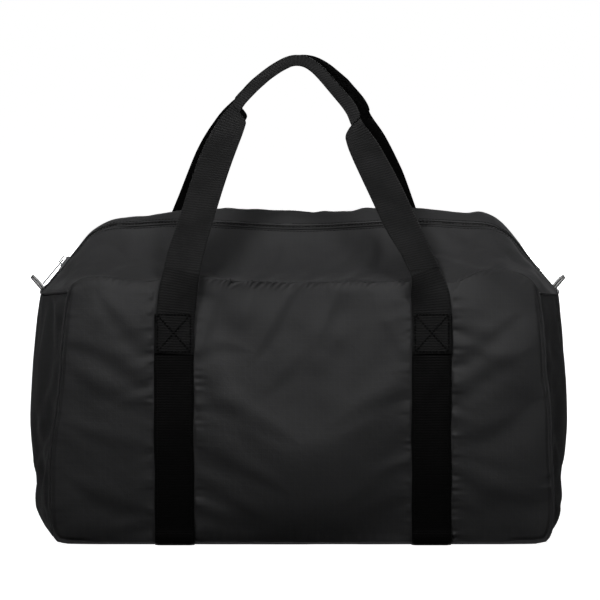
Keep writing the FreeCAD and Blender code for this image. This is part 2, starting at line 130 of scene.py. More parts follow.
def make_studio():
    scene.view_settings.view_transform = "Standard"
    world = bpy.data.worlds.new("studio")
    world.use_nodes = True
    world.node_tree.nodes["Background"].inputs["Color"].default_value = (1, 1, 1, 1)
    world.node_tree.nodes["Background"].inputs["Strength"].default_value = 1.25
    scene.world = world
    unseen = (world.cycles_visibility, "diffuse"), (world.cycles_visibility, "glossy")
    for owner, ray in unseen:  # the white surround is only a backdrop, and the lamps alone light the bag
        setattr(owner, ray, False)
    area_light("key", (-1.1, -2.2, 2.1), (-0.02, 0, 0.46), (1.3, 0.5), 1.75, 24)
    area_light("fill", (1.3, -2.3, 1.8), (0.02, 0, 0.46), (1.3, 0.5), 1.15, 24)
    area_light("front", (0.0, -4.2, 1.0), (0, 0, 0.2), (1.8, 1.0), 5)
    area_light("above", (0.0, 0.1, 2.6), (0, 0, 0.2), (2.4, 1.6), 6)
    area_light("rear", (0.0, 3.0, 0.32), (0, 0, 0.16), (0.3, 0.5), 36)
    area_light("left", (-3.2, 0.3, 0.5), (-0.25, 0, 0.15), (0.4, 0.6), 2.5)
    area_light("right", (3.2, 0.3, 0.5), (0.25, 0, 0.15), (0.4, 0.6), 2.5)
    corners = [(-30, -30, 0), (30, -30, 0), (30, 30, 0), (-30, 30, 0)]
    floor = new_object("floor", corners, [(0, 1, 2, 3)])
    material = bpy.data.materials.new("floor_pale")
    material.use_nodes = True
    shader = material.node_tree.nodes["Principled BSDF"]
    shader.inputs["Base Color"].default_value = (0.60, 0.60, 0.60, 1)
    shader.inputs["Roughness"].default_value = 0.95
    shader.inputs["Specular IOR Level"].default_value = 0.0
    shader.inputs["Emission Color"].default_value = (1, 1, 1, 1)
    shader.inputs["Emission Strength"].default_value = 1.0
    floor.data.materials.append(material)
    floor.visible_diffuse = floor.visible_glossy = False


make_camera()
make_studio()


# ---------------------------------------------------------------- lines
def smooth_curve(points, closed=False, per=16):
    """Dense points along a Catmull-Rom curve through some points."""
    p = np.array(points, float)
    n = len(p)
    spans = n if closed else n - 1

    def at(i):
        if closed:
            return p[i % n]
        if i < 0:
            return 2 * p[0] - p[1]
        return p[i] if i < n else 2 * p[-1] - p[-2]

    out = []
    for i in range(spans):
        a, b, c, d = at(i - 1), at(i), at(i + 1), at(i + 2)
        for k in range(per):
            t = k / per
            square, cube = 2 * a - 5 * b + 4 * c - d, 3 * b - a - 3 * c + d
            out.append(0.5 * (2 * b + (c - a) * t + square * t**2 + cube * t**3))
    out.append(p[0] if closed else p[-1])
    return np.array(out)


def spaced(line, count):
    """count + 1 points, evenly spaced by length along a polyline."""
    line = np.array(line, float)
    steps = np.linalg.norm(np.diff(line, axis=0), axis=1)
    run = np.concatenate([[0], np.cumsum(steps)])
    want = np.linspace(0, run[-1], count + 1)
    return np.stack([np.interp(want, run, line[:, k]) for k in range(line.shape[1])], axis=1)


def front_sides():
    """The front seam loop as four lines of (x, z): bottom, right, top, left, each ending at the next."""
    bottom = [(-0.2355, 0.0095), (-0.229, 0.005), (-0.200, 0.0035), (0, 0.0035), (0.200, 0.0035)]
    bottom += [(0.233, 0.005)]
    right = [(0.2395, 0.0095), (0.243, 0.025), (0.244, 0.045), (0.243, 0.080), (0.241, 0.125), (0.237, 0.170)]
    right += [(0.2335, 0.215)]
    top = [(0.2295, 0.245), (0.224, 0.255), (0.213, 0.263), (0.200, 0.2665), (0.186, 0.2675), (0.170, 0.265)]
    top += [(0.158, 0.2595), (0.146, 0.255), (0.121, 0.2555), (0.090, 0.2565), (0, 0.256), (-0.060, 0.257)]
    top += [(-0.094, 0.2595), (-0.121, 0.2585), (-0.158, 0.2565), (-0.182, 0.2615), (-0.202, 0.261)]
    top += [(-0.214, 0.2565)]
    left = [(-0.2215, 0.247), (-0.226, 0.215), (-0.2285, 0.185), (-0.234, 0.137), (-0.2385, 0.100)]
    left += [(-0.2405, 0.068)]
    left += [(-0.240, 0.040), (-0.239, 0.022)]
    per = 16
    loop = smooth_curve(bottom + right + top + left, closed=True, per=per)
    cuts = np.cumsum([0, len(bottom), len(right), len(top), len(left)]) * per
    return [spaced(loop[cuts[i] : cuts[i + 1] + 1], n) for i, n in enumerate((ACROSS, UP, ACROSS, UP))]


def zip_line(count):
    """The zip's middle line, from its right end over both shoulders to its left end, as (x, z)."""
    corner_x = ZIP_END[0] + (ZIP_TOP - ZIP_END[1]) / math.tan(ZIP_SLOPE)
    top_x = corner_x + ZIP_RADIUS * math.tan(ZIP_SLOPE / 2)
    turn = np.linspace(ZIP_SLOPE, 0, 13)
    arc = np.stack([top_x - ZIP_RADIUS * np.sin(turn), ZIP_TOP - ZIP_RADIUS * (1 - np.cos(turn))], axis=1)
    x = np.linspace(top_x, 0, 40)[1:]
    wide = 0.120
    near = np.clip((-x - wide) / (-top_x - wide), 0, 1)
    rise = np.where(-x < wide, -np.cos(np.pi * x / wide), 1 - near * near * (3 - 2 * near))
    half = np.concatenate([[ZIP_END], arc, np.stack([x, ZIP_TOP + ZIP_SAG * rise], axis=1)])
    return spaced(np.concatenate([half * (-1, 1), half[-2::-1]]), count)


def mid_sides():
    """The band's middle line at y = 0, cut to match the front loop's four sides."""
    bottom = [(-0.243, 0.0018), (0.243, 0.0018)]
    right = [(0.243, 0.0018), (0.2470, 0.018), (0.2515, 0.050), (0.2555, 0.095), (0.2568, 0.125)]
    right += [(0.2566, 0.170), (0.2548, 0.205), (-ZIP_END[0], ZIP_END[1])]
    left = [(-x, z) for x, z in reversed(right)]
    sides = [spaced(smooth_curve(side), UP) for side in (right, left)]
    return [spaced(bottom, ACROSS), sides[0], zip_line(ACROSS), sides[1]]


# ---------------------------------------------------------------- the cloth shell
def panel_y(x, z):
    """How far the front panel stands forward of y = 0, where nothing but its own fill shapes it."""
    rise = BULGE_EDGE + BULGE_MID * np.sin(np.pi * np.clip(z / BULGE_TOP, 0, 1))
    return SEAM_Y + rise * (1 - (x / BULGE_SPAN) ** 2)


def filled_grid(sides):
    """A grid of (x, z) inside four side lines, spread evenly by relaxing it."""
    bottom, right, top, left = sides
    top, left = top[::-1], left[::-1]
    u = np.linspace(0, 1, ACROSS + 1)[:, None, None]
    v = np.linspace(0, 1, UP + 1)[None, :, None]
    grid = (1 - v) * bottom[:, None] + v * top[:, None] + (1 - u) * left[None] + u * right[None]
    grid -= (1 - u) * (1 - v) * bottom[0] + u * (1 - v) * bottom[-1] + (1 - u) * v * top[0] + u * v * top[-1]
    for _ in range(600):
        grid[1:-1, 1:-1] = (grid[2:, 1:-1] + grid[:-2, 1:-1] + grid[1:-1, 2:] + grid[1:-1, :-2]) / 4
    return grid


def ring_index(i, j):
    """Place in the seam loop of the panel grid's edge cell (i, j)."""
    if j == 0:
        return i
    if i == ACROSS:
        return ACROSS + j
    if j == UP:
        return 2 * ACROSS + UP - i
    return (2 * ACROSS + 2 * UP - j) % (2 * (ACROSS + UP))


def rear_rise(x):
    """How much of the rear arch shows at x: most left of the middle, least over the shoulders."""
    shares = [(-0.23, 0.15), (-0.17, 0.50), (-0.11, 0.76), (-0.045, 1), (0.06, 0.90), (0.14, 0.76)]
    shares += [(0.19, 0.80), (0.23, 0.25)]
    return float(np.interp(x, *np.array(shares).T))


PANELS = ("front_panel", "rear_panel", "base", "right_gusset", "top", "left_gusset")


def build_shell():
    """Vertices, faces, each face's panel, and which vertices the seams hold."""
    front = front_sides()
    flip = (-1, 1)
    rear = [front[0][::-1] * flip, front[3][::-1] * flip, front[2][::-1] * flip, front[1][::-1] * flip]
    mid = mid_sides()
    loops = [np.concatenate([side[:-1] for side in sides]) for sides in (front, mid, rear)]
    around = len(loops[0])
    half = np.concatenate([[0], np.linspace(ZIP_EDGE, SEAM_Y, SIDE_CELLS + 1)])
    ys = np.concatenate([-half[:0:-1], half])
    cols = len(ys)
    verts, hold = [], []
    end_rows = (ACROSS + UP, 2 * ACROSS + UP)
    for i in range(around):
        on_top = end_rows[0] <= i <= end_rows[1]
        to_end = min(abs(i - r) for r in end_rows)
        for c, y in enumerate(ys):
            inner = max(0.0, (abs(y) - ZIP_EDGE) / (SEAM_Y - ZIP_EDGE))
            arch = 0.30 * inner + 0.70 * inner**2
            side = (abs(y) / SEAM_Y) ** 2.1
            share = min(1.0, to_end / END_CELLS)
            g = side if not on_top else share * arch + (1 - share) * side
            edge = loops[0][i] if y < 0 else loops[2][i]
            x, z = loops[1][i] + (edge - loops[1][i]) * g
            if on_top and y > ZIP_EDGE:
                z += REAR_ARCH * share * rear_rise(x) * math.sin(math.pi * inner**0.8) ** 1.2
            verts.append((x, y, z))
            held = c in (0, cols - 1) or i in end_rows or i <= ACROSS
            held = held or (on_top and abs(y) <= ZIP_EDGE + 1e-6)
            soft = 0.0 if not on_top else REAR_HOLD if y > 0 else FRONT_HOLD
            hold.append(1.0 if held else soft)
    faces, panel = [], []
    for i in range(around):
        side = 2 if i < ACROSS else 3 if i < ACROSS + UP else 4 if i < 2 * ACROSS + UP else 5
        for c in range(cols - 1):
            a, b = i * cols + c, ((i + 1) % around) * cols + c
            faces.append((a, a + 1, b + 1, b))
            panel.append(side)
    for which, (sides, col, sign) in enumerate(((front, 0, -1), (rear, cols - 1, 1))):
        grid = filled_grid(sides)
        index = np.zeros((ACROSS + 1, UP + 1), int)
        rim = np.concatenate(sides)
        for i in range(ACROSS + 1):
            for j in range(UP + 1):
                if i in (0, ACROSS) or j in (0, UP):
                    index[i, j] = ring_index(i, j) * cols + col
                    continue
                x, z = grid[i, j]
                near = min(1.0, float(np.min(np.hypot(*(rim - (x, z)).T))) / RIM_WIDE)
                y = SEAM_Y + (panel_y(x, z) - SEAM_Y) * near
                index[i, j] = len(verts)
                verts.append((x, sign * y, z))
                to_strap = min(abs(x - middle) for middle in STRAP_AT.values())
                under_strap = to_strap < STRAP_HALF - 0.002 and z < STRAP_TOP - 0.004
                hold.append(1.0 if under_strap else 0.0)
        for i in range(ACROSS):
            for j in range(UP):
                quad = (index[i, j], index[i + 1, j], index[i + 1, j + 1], index[i, j + 1])
                faces.append(quad if sign < 0 else quad[::-1])
                panel.append(which)
    return np.array(verts), faces, np.array(panel), np.array(hold), cols


def fill_with_cloth(verts, faces, hold):
    """The shell filled by the simulation: seams held, cloth cut a little large and pushed out from inside."""
    obj = new_object("shell", verts, faces)
    group = obj.vertex_groups.new(name="held")
    for i in np.nonzero(hold)[0]:
        group.add([int(i)], float(hold[i]), "REPLACE")
    cloth = obj.modifiers.new("cloth", "CLOTH")
    s = cloth.settings
    s.quality = 6
    s.mass = 0.15
    s.tension_stiffness = s.compression_stiffness = 15
    s.shear_stiffness = 5
    s.bending_stiffness = 0.05
    s.tension_damping = s.compression_damping = 5
    s.air_damping = 1.0
    s.vertex_group_mass = "held"
    s.pin_stiffness = 1.0
    s.shrink_min = -0.022
    s.use_pressure = True
    s.uniform_pressure_force = 1.2
    s.effector_weights.gravity = 0.15
    cloth.collision_settings.use_collision = False
    cloth.point_cache.frame_start, cloth.point_cache.frame_end = 1, 60
    for f in range(1, SIM_FRAMES + 1):
        scene.frame_set(f)
    dg = bpy.context.evaluated_depsgraph_get()
    done = np.array([v.co for v in obj.evaluated_get(dg).data.vertices], float)
    scene.frame_set(1)
    bpy.data.objects.remove(obj)
    return done


# ---------------------------------------------------------------- shape helpers
STITCH_PITCH, STITCH_LONG = 0.0032, 0.0025


def soft_noise(points, size, seed):
    """Smooth noise from -1 to 1 at each point; its features are about size across, along x, y and z."""
    q = np.asarray(points, float) / size + seed * 7.31
    low = np.floor(q).astype(np.int64)
    part = q - low
    part = part * part * (3 - 2 * part)
    total = np.zeros(len(q))
    for corner in range(8):
        step = np.array([corner & 1, corner >> 1 & 1, corner >> 2 & 1])
        k = low + step
        h = (k[:, 0] * 374761393 + k[:, 1] * 668265263 + k[:, 2] * 2147483647 + seed * 97) & 0xFFFFFFFF
        h = ((h ^ (h >> 13)) * 1274126177) & 0xFFFFFFFF
        h = h ^ (h >> 16)
        total += ((h & 0xFFFF) / 32767.5 - 1) * np.prod(np.where(step == 1, part, 1 - part), axis=1)
    return total


def ease(x, low, high):
    t = np.clip((np.asarray(x, float) - low) / (high - low), 0, 1)
    return t * t * (3 - 2 * t)


def nearest_on(line, points):
    """For each flat point: how far along a line its nearest place is, and how far off, left positive."""
    line = np.asarray(line, float)
    steps = np.diff(line, axis=0)
    long = np.linalg.norm(steps, axis=1)
    run = np.concatenate([[0], np.cumsum(long)])
    best, at, off = np.full(len(points), 1e9), np.zeros(len(points)), np.zeros(len(points))
    for a, d, length, start in zip(line[:-1], steps, long, run):
        if length == 0:
            continue
        rel = points - a
        t = np.clip(rel @ d / length**2, 0, 1)
        gap = rel - t[:, None] * d
        dist = np.hypot(gap[:, 0], gap[:, 1])
        closer = dist < best
        best = np.where(closer, dist, best)
        at = np.where(closer, start + t * length, at)
        off = np.where(closer, dist * np.sign(d[0] * rel[:, 1] - d[1] * rel[:, 0]), off)
    return at, off


def fold_heights(points, folds):
    """Height of soft folds given in millimetres: a ridge on the left of each line, a hollow on its right."""
    total = np.zeros(len(points))
    for line, wide, high in folds:
        curve, wide, high = smooth_curve(line, per=8) / 1000, wide / 1000, high / 1000
        at, off = nearest_on(curve, points)
        whole = np.linalg.norm(np.diff(curve, axis=0), axis=1).sum()
        share = at / whole
        fade = np.sin(np.pi * np.clip(share, 0.04, 0.96)) ** 0.8
        beyond = np.minimum(np.hypot(*(points - curve[0]).T), np.hypot(*(points - curve[-1]).T))
        fade = np.where((at <= 0) | (at >= whole), fade * np.exp(-((beyond / (0.6 * wide)) ** 2)), fade)
        t = off / (wide * (0.45 + 0.55 * np.sin(np.pi * share)))
        total += high * fade * t * np.exp(0.5 - t * t / 2)
    return total


def puckers(points, line, pitch, reach, high, seed, slant=0.0):
    """Small gathers that start at a sewn line and fade away from it."""
    at, off = nearest_on(line, points)
    dist = np.abs(off)
    where = np.stack([at + slant * dist, dist * 0.25, np.full(len(at), seed * 1.0)], axis=1)
    wave = soft_noise(where, pitch, seed) + 0.5 * soft_noise(where, pitch * 2.3, seed + 1)
    strong = 0.55 + 0.45 * soft_noise(where * (1, 0, 1), pitch * 7, seed + 2)
    return high * wave * strong * np.exp(-dist / reach) * ease(dist, -0.001, 0.003)


def vertex_normals(mesh):
    out = np.empty(len(mesh.vertices) * 3)
    mesh.vertices.foreach_get("normal", out)
    return out.reshape(-1, 3)


def coordinates(mesh):
    out = np.empty(len(mesh.vertices) * 3)
    mesh.vertices.foreach_get("co", out)
    return out.reshape(-1, 3)


def move_to(mesh, co):
    mesh.vertices.foreach_set("co", np.ascontiguousarray(co, float).ravel())
    mesh.update()


def apply_modifiers(obj):
    dg = bpy.context.evaluated_depsgraph_get()
    mesh = bpy.data.meshes.new_from_object(obj.evaluated_get(dg))
    obj.modifiers.clear()
    obj.data = mesh
    return obj


def subdivide(obj, levels=1):
    mod = obj.modifiers.new("finer", "SUBSURF")
    mod.levels = mod.render_levels = levels
    return apply_modifiers(obj)


def thicken(obj, thick):
    mod = obj.modifiers.new("thick", "SOLIDIFY")
    mod.thickness = thick
    mod.offset = -1
    return apply_modifiers(obj)


def set_uv(obj, uv):
    """One flat coordinate in metres for each vertex, as the object's UV map."""
    layer = obj.data.uv_layers.new(name="Cloth")
    corners = np.empty(len(obj.data.loops), int)
    obj.data.loops.foreach_get("vertex_index", corners)
    layer.data.foreach_set("uv", np.asarray(uv, float)[corners].ravel())


def patch(name, points, faces, chosen, uv):
    """An object of some faces of a shell."""
    used = sorted({v for k in chosen for v in faces[k]})
    where = {v: i for i, v in enumerate(used)}
    obj = new_object(name, points[used], [[where[v] for v in faces[k]] for k in chosen])
    set_uv(obj, uv[used])
    return obj


def sweep(name, sections, closed=False, uv=None):
    """A skin over equal closed sections, (stations, points, 3)."""
    sections = np.asarray(sections, float)
    stations, around = sections.shape[:2]
    faces = []
    for i in range(stations if closed else stations - 1):
        for j in range(around):
            a, b = i * around, (i + 1) % stations * around
            faces.append((a + j, a + (j + 1) % around, b + (j + 1) % around, b + j))
    if not closed:
        faces.append(tuple(range(around))[::-1])
        faces.append(tuple(range((stations - 1) * around, stations * around)))
    obj = new_object(name, sections.reshape(-1, 3), faces)
    if uv is not None:
        set_uv(obj, np.asarray(uv, float).reshape(-1, 2))
    return obj


def tube_sections(line, wide, high, up):
    """Oval sections along a line: wide across it, high along up."""
    line = np.asarray(line, float)
    run = np.gradient(line, axis=0)
    run /= np.linalg.norm(run, axis=1)[:, None]
    up = np.broadcast_to(np.asarray(up, float), line.shape)
    across = np.cross(run, up)
    across /= np.linalg.norm(across, axis=1)[:, None]
    up = np.cross(across, run)
    turn = np.linspace(0, 2 * np.pi, 8, endpoint=False)
    wide, high = (np.broadcast_to(size, len(line))[:, None] / 2 for size in (wide, high))
    beside = across[:, None] * (wide * np.cos(turn))[..., None]
    return line[:, None] + beside + up[:, None] * (high * np.sin(turn))[..., None]


def capsules(name, starts, ends, ups, radius):
    """Many short rounded threads in one mesh, each arched a little along its up direction."""
    sides, flat = 6, 0.8
    starts, ends, ups = (np.asarray(a, float) for a in (starts, ends, ups))
    run = ends - starts
    long = np.linalg.norm(run, axis=1)[:, None]
    run = run / long
    across = np.cross(run, ups)
    across /= np.linalg.norm(across, axis=1)[:, None]
    up = np.cross(across, run)
    shares, radii = (0.0, 0.10, 0.32, 0.68, 0.90, 1.0), (0.25, 0.75, 1.0, 1.0, 0.75, 0.25)
    turn = np.linspace(0, 2 * np.pi, sides, endpoint=False)
    rings = []
    for share, r in zip(shares, radii):
        middle = starts + run * long * share + up * (radius * 0.55 * math.sin(math.pi * share))
        ring = middle[:, None] + across[:, None] * (np.cos(turn) * radius * r)[None, :, None]
        rings.append(ring + up[:, None] * (np.sin(turn) * radius * r * flat)[None, :, None])
    verts = np.stack(rings, axis=1).reshape(-1, 3)
    each = len(shares) * sides
    faces = []
    for k in range(len(starts)):
        o = k * each
        for i in range(len(shares) - 1):
            for j in range(sides):
                a, b = o + i * sides, o + (i + 1) * sides
                faces.append((a + j, a + (j + 1) % sides, b + (j + 1) % sides, b + j))
        faces.append([o + j for j in range(sides)][::-1])
        faces.append([o + each - sides + j for j in range(sides)])
    return new_object(name, verts, faces)


def runs_along(line):
    """How far each point of a line is from its start, along the line."""
    return np.concatenate([[0], np.cumsum(np.linalg.norm(np.diff(line, axis=0), axis=1))])


def at_runs(line, run, where):
    """The line's points at those distances along it."""
    return np.stack([np.interp(where, run, line[:, k]) for k in range(3)], axis=-1)


def flat_grid(across, along):
    """The UV map of a sweep: the place across its section, and the place along its length."""
    return np.stack(np.broadcast_arrays(np.asarray(across)[None, :], along[:, None]), axis=2)


def there_and_back(values):
    """The values for one face of a thin section, then for its other face."""
    return np.concatenate([values, values[::-1]])


def row_of_stitches(line):
    """Starts and ends of the threads along a line."""
    line = np.asarray(line, float)
    run = runs_along(line)
    count = max(1, int(round(run[-1] / STITCH_PITCH)))
    begin = (np.arange(count) + 0.5) * (run[-1] / count) - STITCH_LONG / 2
    return [at_runs(line, run, where) for where in (begin, begin + STITCH_LONG)]


def tree_of(*objs):
    verts, faces = [], []
    for obj in objs:
        first = len(verts)
        verts += [tuple(v.co) for v in obj.data.vertices]
        faces += [[first + v for v in p.vertices] for p in obj.data.polygons]
    return BVHTree.FromPolygons(verts, faces)


def sewn(name, rows, tree, radius=0.00045, lift=0.0002, outward=None):
    """Rows of stitches laid on the nearest surface."""
    starts, ends, ups = [], [], []
    for line in rows:
        for a, b in zip(*row_of_stitches(line)):
            pa, na, _, _ = tree.find_nearest(Vector(a))
            pb, nb, _, _ = tree.find_nearest(Vector(b))
            up = (na + nb).normalized()
            if outward is not None and up.dot(Vector(outward)) < 0:
                up = -up
            if (pb - pa).length < 0.0008:
                continue
            starts.append(pa + up * lift)
            ends.append(pb + up * lift)
            ups.append(up)
    return capsules(name, starts, ends, ups, radius)


# ---------------------------------------------------------------- materials
def new_material(name, **sockets):
    """A node material and its tree; sockets that are the same all over are set on the shader itself."""
    m = bpy.data.materials.new(name)
    m.use_nodes = True
    shader = m.node_tree.nodes["Principled BSDF"]
    for socket, value in sockets.items():
        shader.inputs[socket.replace("_", " ")].default_value = value
    return m, m.node_tree, shader


def calc(tree, operation, a, b=None, c=None):
    n = tree.nodes.new("ShaderNodeMath")
    n.operation = operation
    for socket, value in zip(n.inputs, (a, b, c)):
        if value is None:
            continue
        if isinstance(value, (int, float)):
            socket.default_value = value
        else:
            tree.links.new(value, socket)
    return n.outputs[0]


def wave(tree, along, pitch, shift=None):
    """A sine of a length in metres."""
    turns = calc(tree, "MULTIPLY", along, 2 * math.pi / pitch)
    return calc(tree, "SINE", turns if shift is None else calc(tree, "ADD", turns, shift))


def flat_place(tree):
    """The cloth's own flat coordinates, in metres."""
    place = tree.nodes.new("ShaderNodeUVMap")
    place.uv_map = "Cloth"
    split = tree.nodes.new("ShaderNodeSeparateXYZ")
    tree.links.new(place.outputs["UV"], split.inputs[0])
    return split.outputs[0], split.outputs[1]


def patchy(tree, scale, detail=3.0, rough=0.5):
    """Noise from 0 to 1 over the object, with scale features to a metre."""
    where = tree.nodes.new("ShaderNodeTexCoord")
    n = tree.nodes.new("ShaderNodeTexNoise")
    n.inputs["Scale"].default_value = scale
    n.inputs["Detail"].default_value = detail
    n.inputs["Roughness"].default_value = rough
    tree.links.new(where.outputs["Object"], n.inputs["Vector"])
    return n.outputs[0]


def spread(tree, value, low, high, out_low, out_high):
    n = tree.nodes.new("ShaderNodeMapRange")
    for socket, v in zip(n.inputs, (None, low, high, out_low, out_high)):
        if v is not None:
            socket.default_value = v
    tree.links.new(value, n.inputs[0])
    return n.outputs[0]


def ramp(tree, value, dark, pale):
    """A colour between two, by a value from 0 to 1."""
    n = tree.nodes.new("ShaderNodeMix")
    n.data_type = "RGBA"
    n.inputs[6].default_value = (*dark, 1)
    n.inputs[7].default_value = (*pale, 1)
    tree.links.new(value, n.inputs[0])
    return n.outputs[2]


def bump(tree, shader, layers):
    """Bumps one over another, each (height, depth in metres)."""
    before = None
    for height, depth in layers:
        n = tree.nodes.new("ShaderNodeBump")
        n.inputs["Distance"].default_value = depth
        tree.links.new(height, n.inputs["Height"])
        if before is not None:
            tree.links.new(before, n.inputs["Normal"])
        before = n.outputs[0]
    tree.links.new(before, shader.inputs["Normal"])


def nylon(name, dark, pale, roughness, crinkle=0.0007):
    """Thin woven nylon: plain weave with a faint reinforcing grid, softly crinkled."""
    m, tree, shader = new_material(
        name, Specular_IOR_Level=0.36, Sheen_Weight=0.12, Sheen_Roughness=0.45, Sheen_Tint=(0.9, 0.9, 0.92, 1)
    )
    u, v = flat_place(tree)
    weave = calc(tree, "MULTIPLY", wave(tree, u, 0.0012), wave(tree, v, 0.0012))
    lines = [calc(tree, "POWER", spread(tree, wave(tree, a, 0.0052), -1, 1, 0, 1), 26) for a in (u, v)]
    grid = calc(tree, "MAXIMUM", *lines)
    cloudy = patchy(tree, 14, 4)
    fine = patchy(tree, 1800, 1)
    tone = calc(tree, "MULTIPLY_ADD", fine, 0.25, calc(tree, "MULTIPLY", cloudy, 0.65))
    tone = calc(tree, "MULTIPLY_ADD", grid, 0.16, tone)
    tree.links.new(ramp(tree, tone, dark, pale), shader.inputs["Base Color"])
    mottled = calc(tree, "MULTIPLY_ADD", patchy(tree, 60, 3), 0.14, roughness - 0.07)
    tree.links.new(calc(tree, "MULTIPLY_ADD", grid, -0.05, mottled), shader.inputs["Roughness"])
    threads = calc(tree, "MULTIPLY_ADD", grid, 0.9, weave)
    bump(tree, shader, [(patchy(tree, 55, 5, 0.55), crinkle), (threads, 0.00003)])
    return m


def webbing(name, dark, pale, heights, painted_shade_tone, gloss=1.0):
    """Ribbed webbing: ribs across it over fine lengthwise yarns, with painted shade: below two heights its tone
    falls to the given shade tone.
    """
    m, tree, shader = new_material(
        name, Specular_IOR_Level=0.20 * gloss, Sheen_Weight=0.10 * gloss, Sheen_Roughness=0.5
    )
    u, v = flat_place(tree)
    sway = calc(tree, "MULTIPLY", wave(tree, u, 0.0040), 0.5)
    zigzag = calc(tree, "MULTIPLY_ADD", patchy(tree, 45, 1), 2.4, sway)
    ribs = wave(tree, v, 0.0025, zigzag)
    yarns = wave(tree, u, 0.0011)
    height = calc(tree, "MULTIPLY_ADD", yarns, 0.25, ribs)
    tone = spread(tree, height, -0.7, 1.0, 0.0, 0.85)
    tone = calc(tree, "MULTIPLY_ADD", patchy(tree, 200, 2), 0.25, tone)
    # Broad lighter and darker patches: painted sheen, standing in for the uneven sheen of the webbing.
    tone = calc(tree, "MULTIPLY", tone, spread(tree, patchy(tree, 28, 2), 0.35, 0.65, 0.45, 1.20))
    edge = spread(tree, calc(tree, "ABSOLUTE", u), STRAP_HALF - 0.0022, STRAP_HALF - 0.0008, 1.0, 0.55)
    tone = calc(tree, "MULTIPLY", tone, edge)
    where = tree.nodes.new("ShaderNodeTexCoord")
    split = tree.nodes.new("ShaderNodeSeparateXYZ")
    tree.links.new(where.outputs["Object"], split.inputs[0])
    # Painted shade: the tone darkens below the given heights, where the webbing faces down and takes less light.
    tone = calc(tree, "MULTIPLY", tone, spread(tree, split.outputs[2], *heights, painted_shade_tone, 1.0))
    tree.links.new(ramp(tree, tone, dark, pale), shader.inputs["Base Color"])
    tree.links.new(spread(tree, patchy(tree, 300, 2), 0.2, 0.8, 0.62, 0.82), shader.inputs["Roughness"])
    bump(tree, shader, [(patchy(tree, 70, 2), 0.0004), (height, 0.00013)])
    return m


def yarn(name, dark, pale, roughness, specular, scale):
    """Thread, coil or cord: twisted strands from fine noise."""
    m, tree, shader = new_material(name, Specular_IOR_Level=specular)
    strands = patchy(tree, scale, 2)
    tree.links.new(ramp(tree, strands, dark, pale), shader.inputs["Base Color"])
    rough = spread(tree, strands, 0, 1, roughness - 0.08, roughness + 0.08)
    tree.links.new(rough, shader.inputs["Roughness"])
    bump(tree, shader, [(strands, 0.00012)])
    return m


def tape(name, dark, pale):
    """Close twill tape."""
    m, tree, shader = new_material(name, Specular_IOR_Level=0.25, Sheen_Weight=0.08)
    u, v = flat_place(tree)
    twill = wave(tree, calc(tree, "ADD", u, v), 0.0011)
    tone = calc(tree, "MULTIPLY_ADD", patchy(tree, 200, 3), 0.5, spread(tree, twill, -1, 1, 0, 0.5))
    tree.links.new(ramp(tree, tone, dark, pale), shader.inputs["Base Color"])
    tree.links.new(spread(tree, twill, -1, 1, 0.62, 0.74), shader.inputs["Roughness"])
    bump(tree, shader, [(twill, 0.00006)])
    return m


def metal(name):
    """Plated zinc, lightly worn."""
    m, tree, shader = new_material(name, Metallic=1.0)
    worn = patchy(tree, 420, 4, 0.6)
    tree.links.new(ramp(tree, worn, (0.42, 0.42, 0.43), (0.72, 0.72, 0.73)), shader.inputs["Base Color"])
    tree.links.new(spread(tree, patchy(tree, 900, 3), 0.2, 0.8, 0.22, 0.42), shader.inputs["Roughness"])
    bump(tree, shader, [(worn, 0.00006)])
    return m


BLACK_NYLON = nylon("black_nylon", (0.0235, 0.0235, 0.0245), (0.0315, 0.0315, 0.0325), 0.64)
TAB_NYLON = nylon("tab_nylon", (0.010, 0.010, 0.0104), (0.016, 0.016, 0.0165), 0.70, 0.0002)
HANDLE_TONES = (0.0012, 0.0012, 0.0013), (0.0185, 0.0185, 0.0190)
# The handle webbing has painted shade: darker from 0.30 m down to the box stitching at 0.19 m.
HANDLE_WEBBING_SHADED_LOW = webbing("handle_webbing", *HANDLE_TONES, (0.19, 0.30), 0.40)
# Painted shade on the rear handle: a darker copy of the handle webbing, darker still on its legs below the grip.
SHADED_REAR_TONES = (0.0005, 0.0005, 0.0005), (0.0050, 0.0050, 0.0052)
SHADED_REAR_WEBBING = webbing("rear_webbing_painted_shade", *SHADED_REAR_TONES, (0.395, 0.425), 0.30, 0.35)
# Painted shade on the webbing round the body: a darker copy of the handle webbing, darker still towards the
# bottom.
SHADED_STRAP_TONES = (0.0003, 0.0003, 0.0003), (0.0085, 0.0085, 0.0088)
SHADED_STRAP_WEBBING = webbing("strap_webbing_painted_shade", *SHADED_STRAP_TONES, (0.05, 0.20), 0.10, 0.45)
THREAD = yarn("black_thread", (0.0006, 0.0006, 0.0006), (0.0024, 0.0024, 0.0025), 0.70, 0.12, 2600)
PALE_THREAD = yarn("grey_thread", (0.014, 0.014, 0.0145), (0.024, 0.024, 0.0245), 0.70, 0.2, 2600)
ZIP_TAPE = tape("zip_tape_weave", (0.006, 0.006, 0.006), (0.016, 0.016, 0.0165))
SEAM_TAPE = tape("seam_tape_weave", (0.010, 0.010, 0.010), (0.024, 0.024, 0.0245))
COIL = yarn("coil_nylon", (0.008, 0.008, 0.008), (0.014, 0.014, 0.014), 0.42, 0.45, 900)
METAL = metal("plated_metal")


def finish_piece(obj, material, slot, *nodes, body="bag"):
    """Material, the CAD nodes it stands for, and the body it rides on, if one is given; slot is not used."""
    obj.data.materials.clear()
    obj.data.materials.append(material)
    if nodes:
        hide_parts(*nodes)
    if body:
        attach(obj, body)
    return obj


def bend_with_lid(obj):
    """Bakes the piece's placement into its mesh; nothing here makes it lift with the lid."""
    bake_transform(obj)
    co = coordinates(obj.data)
    return obj


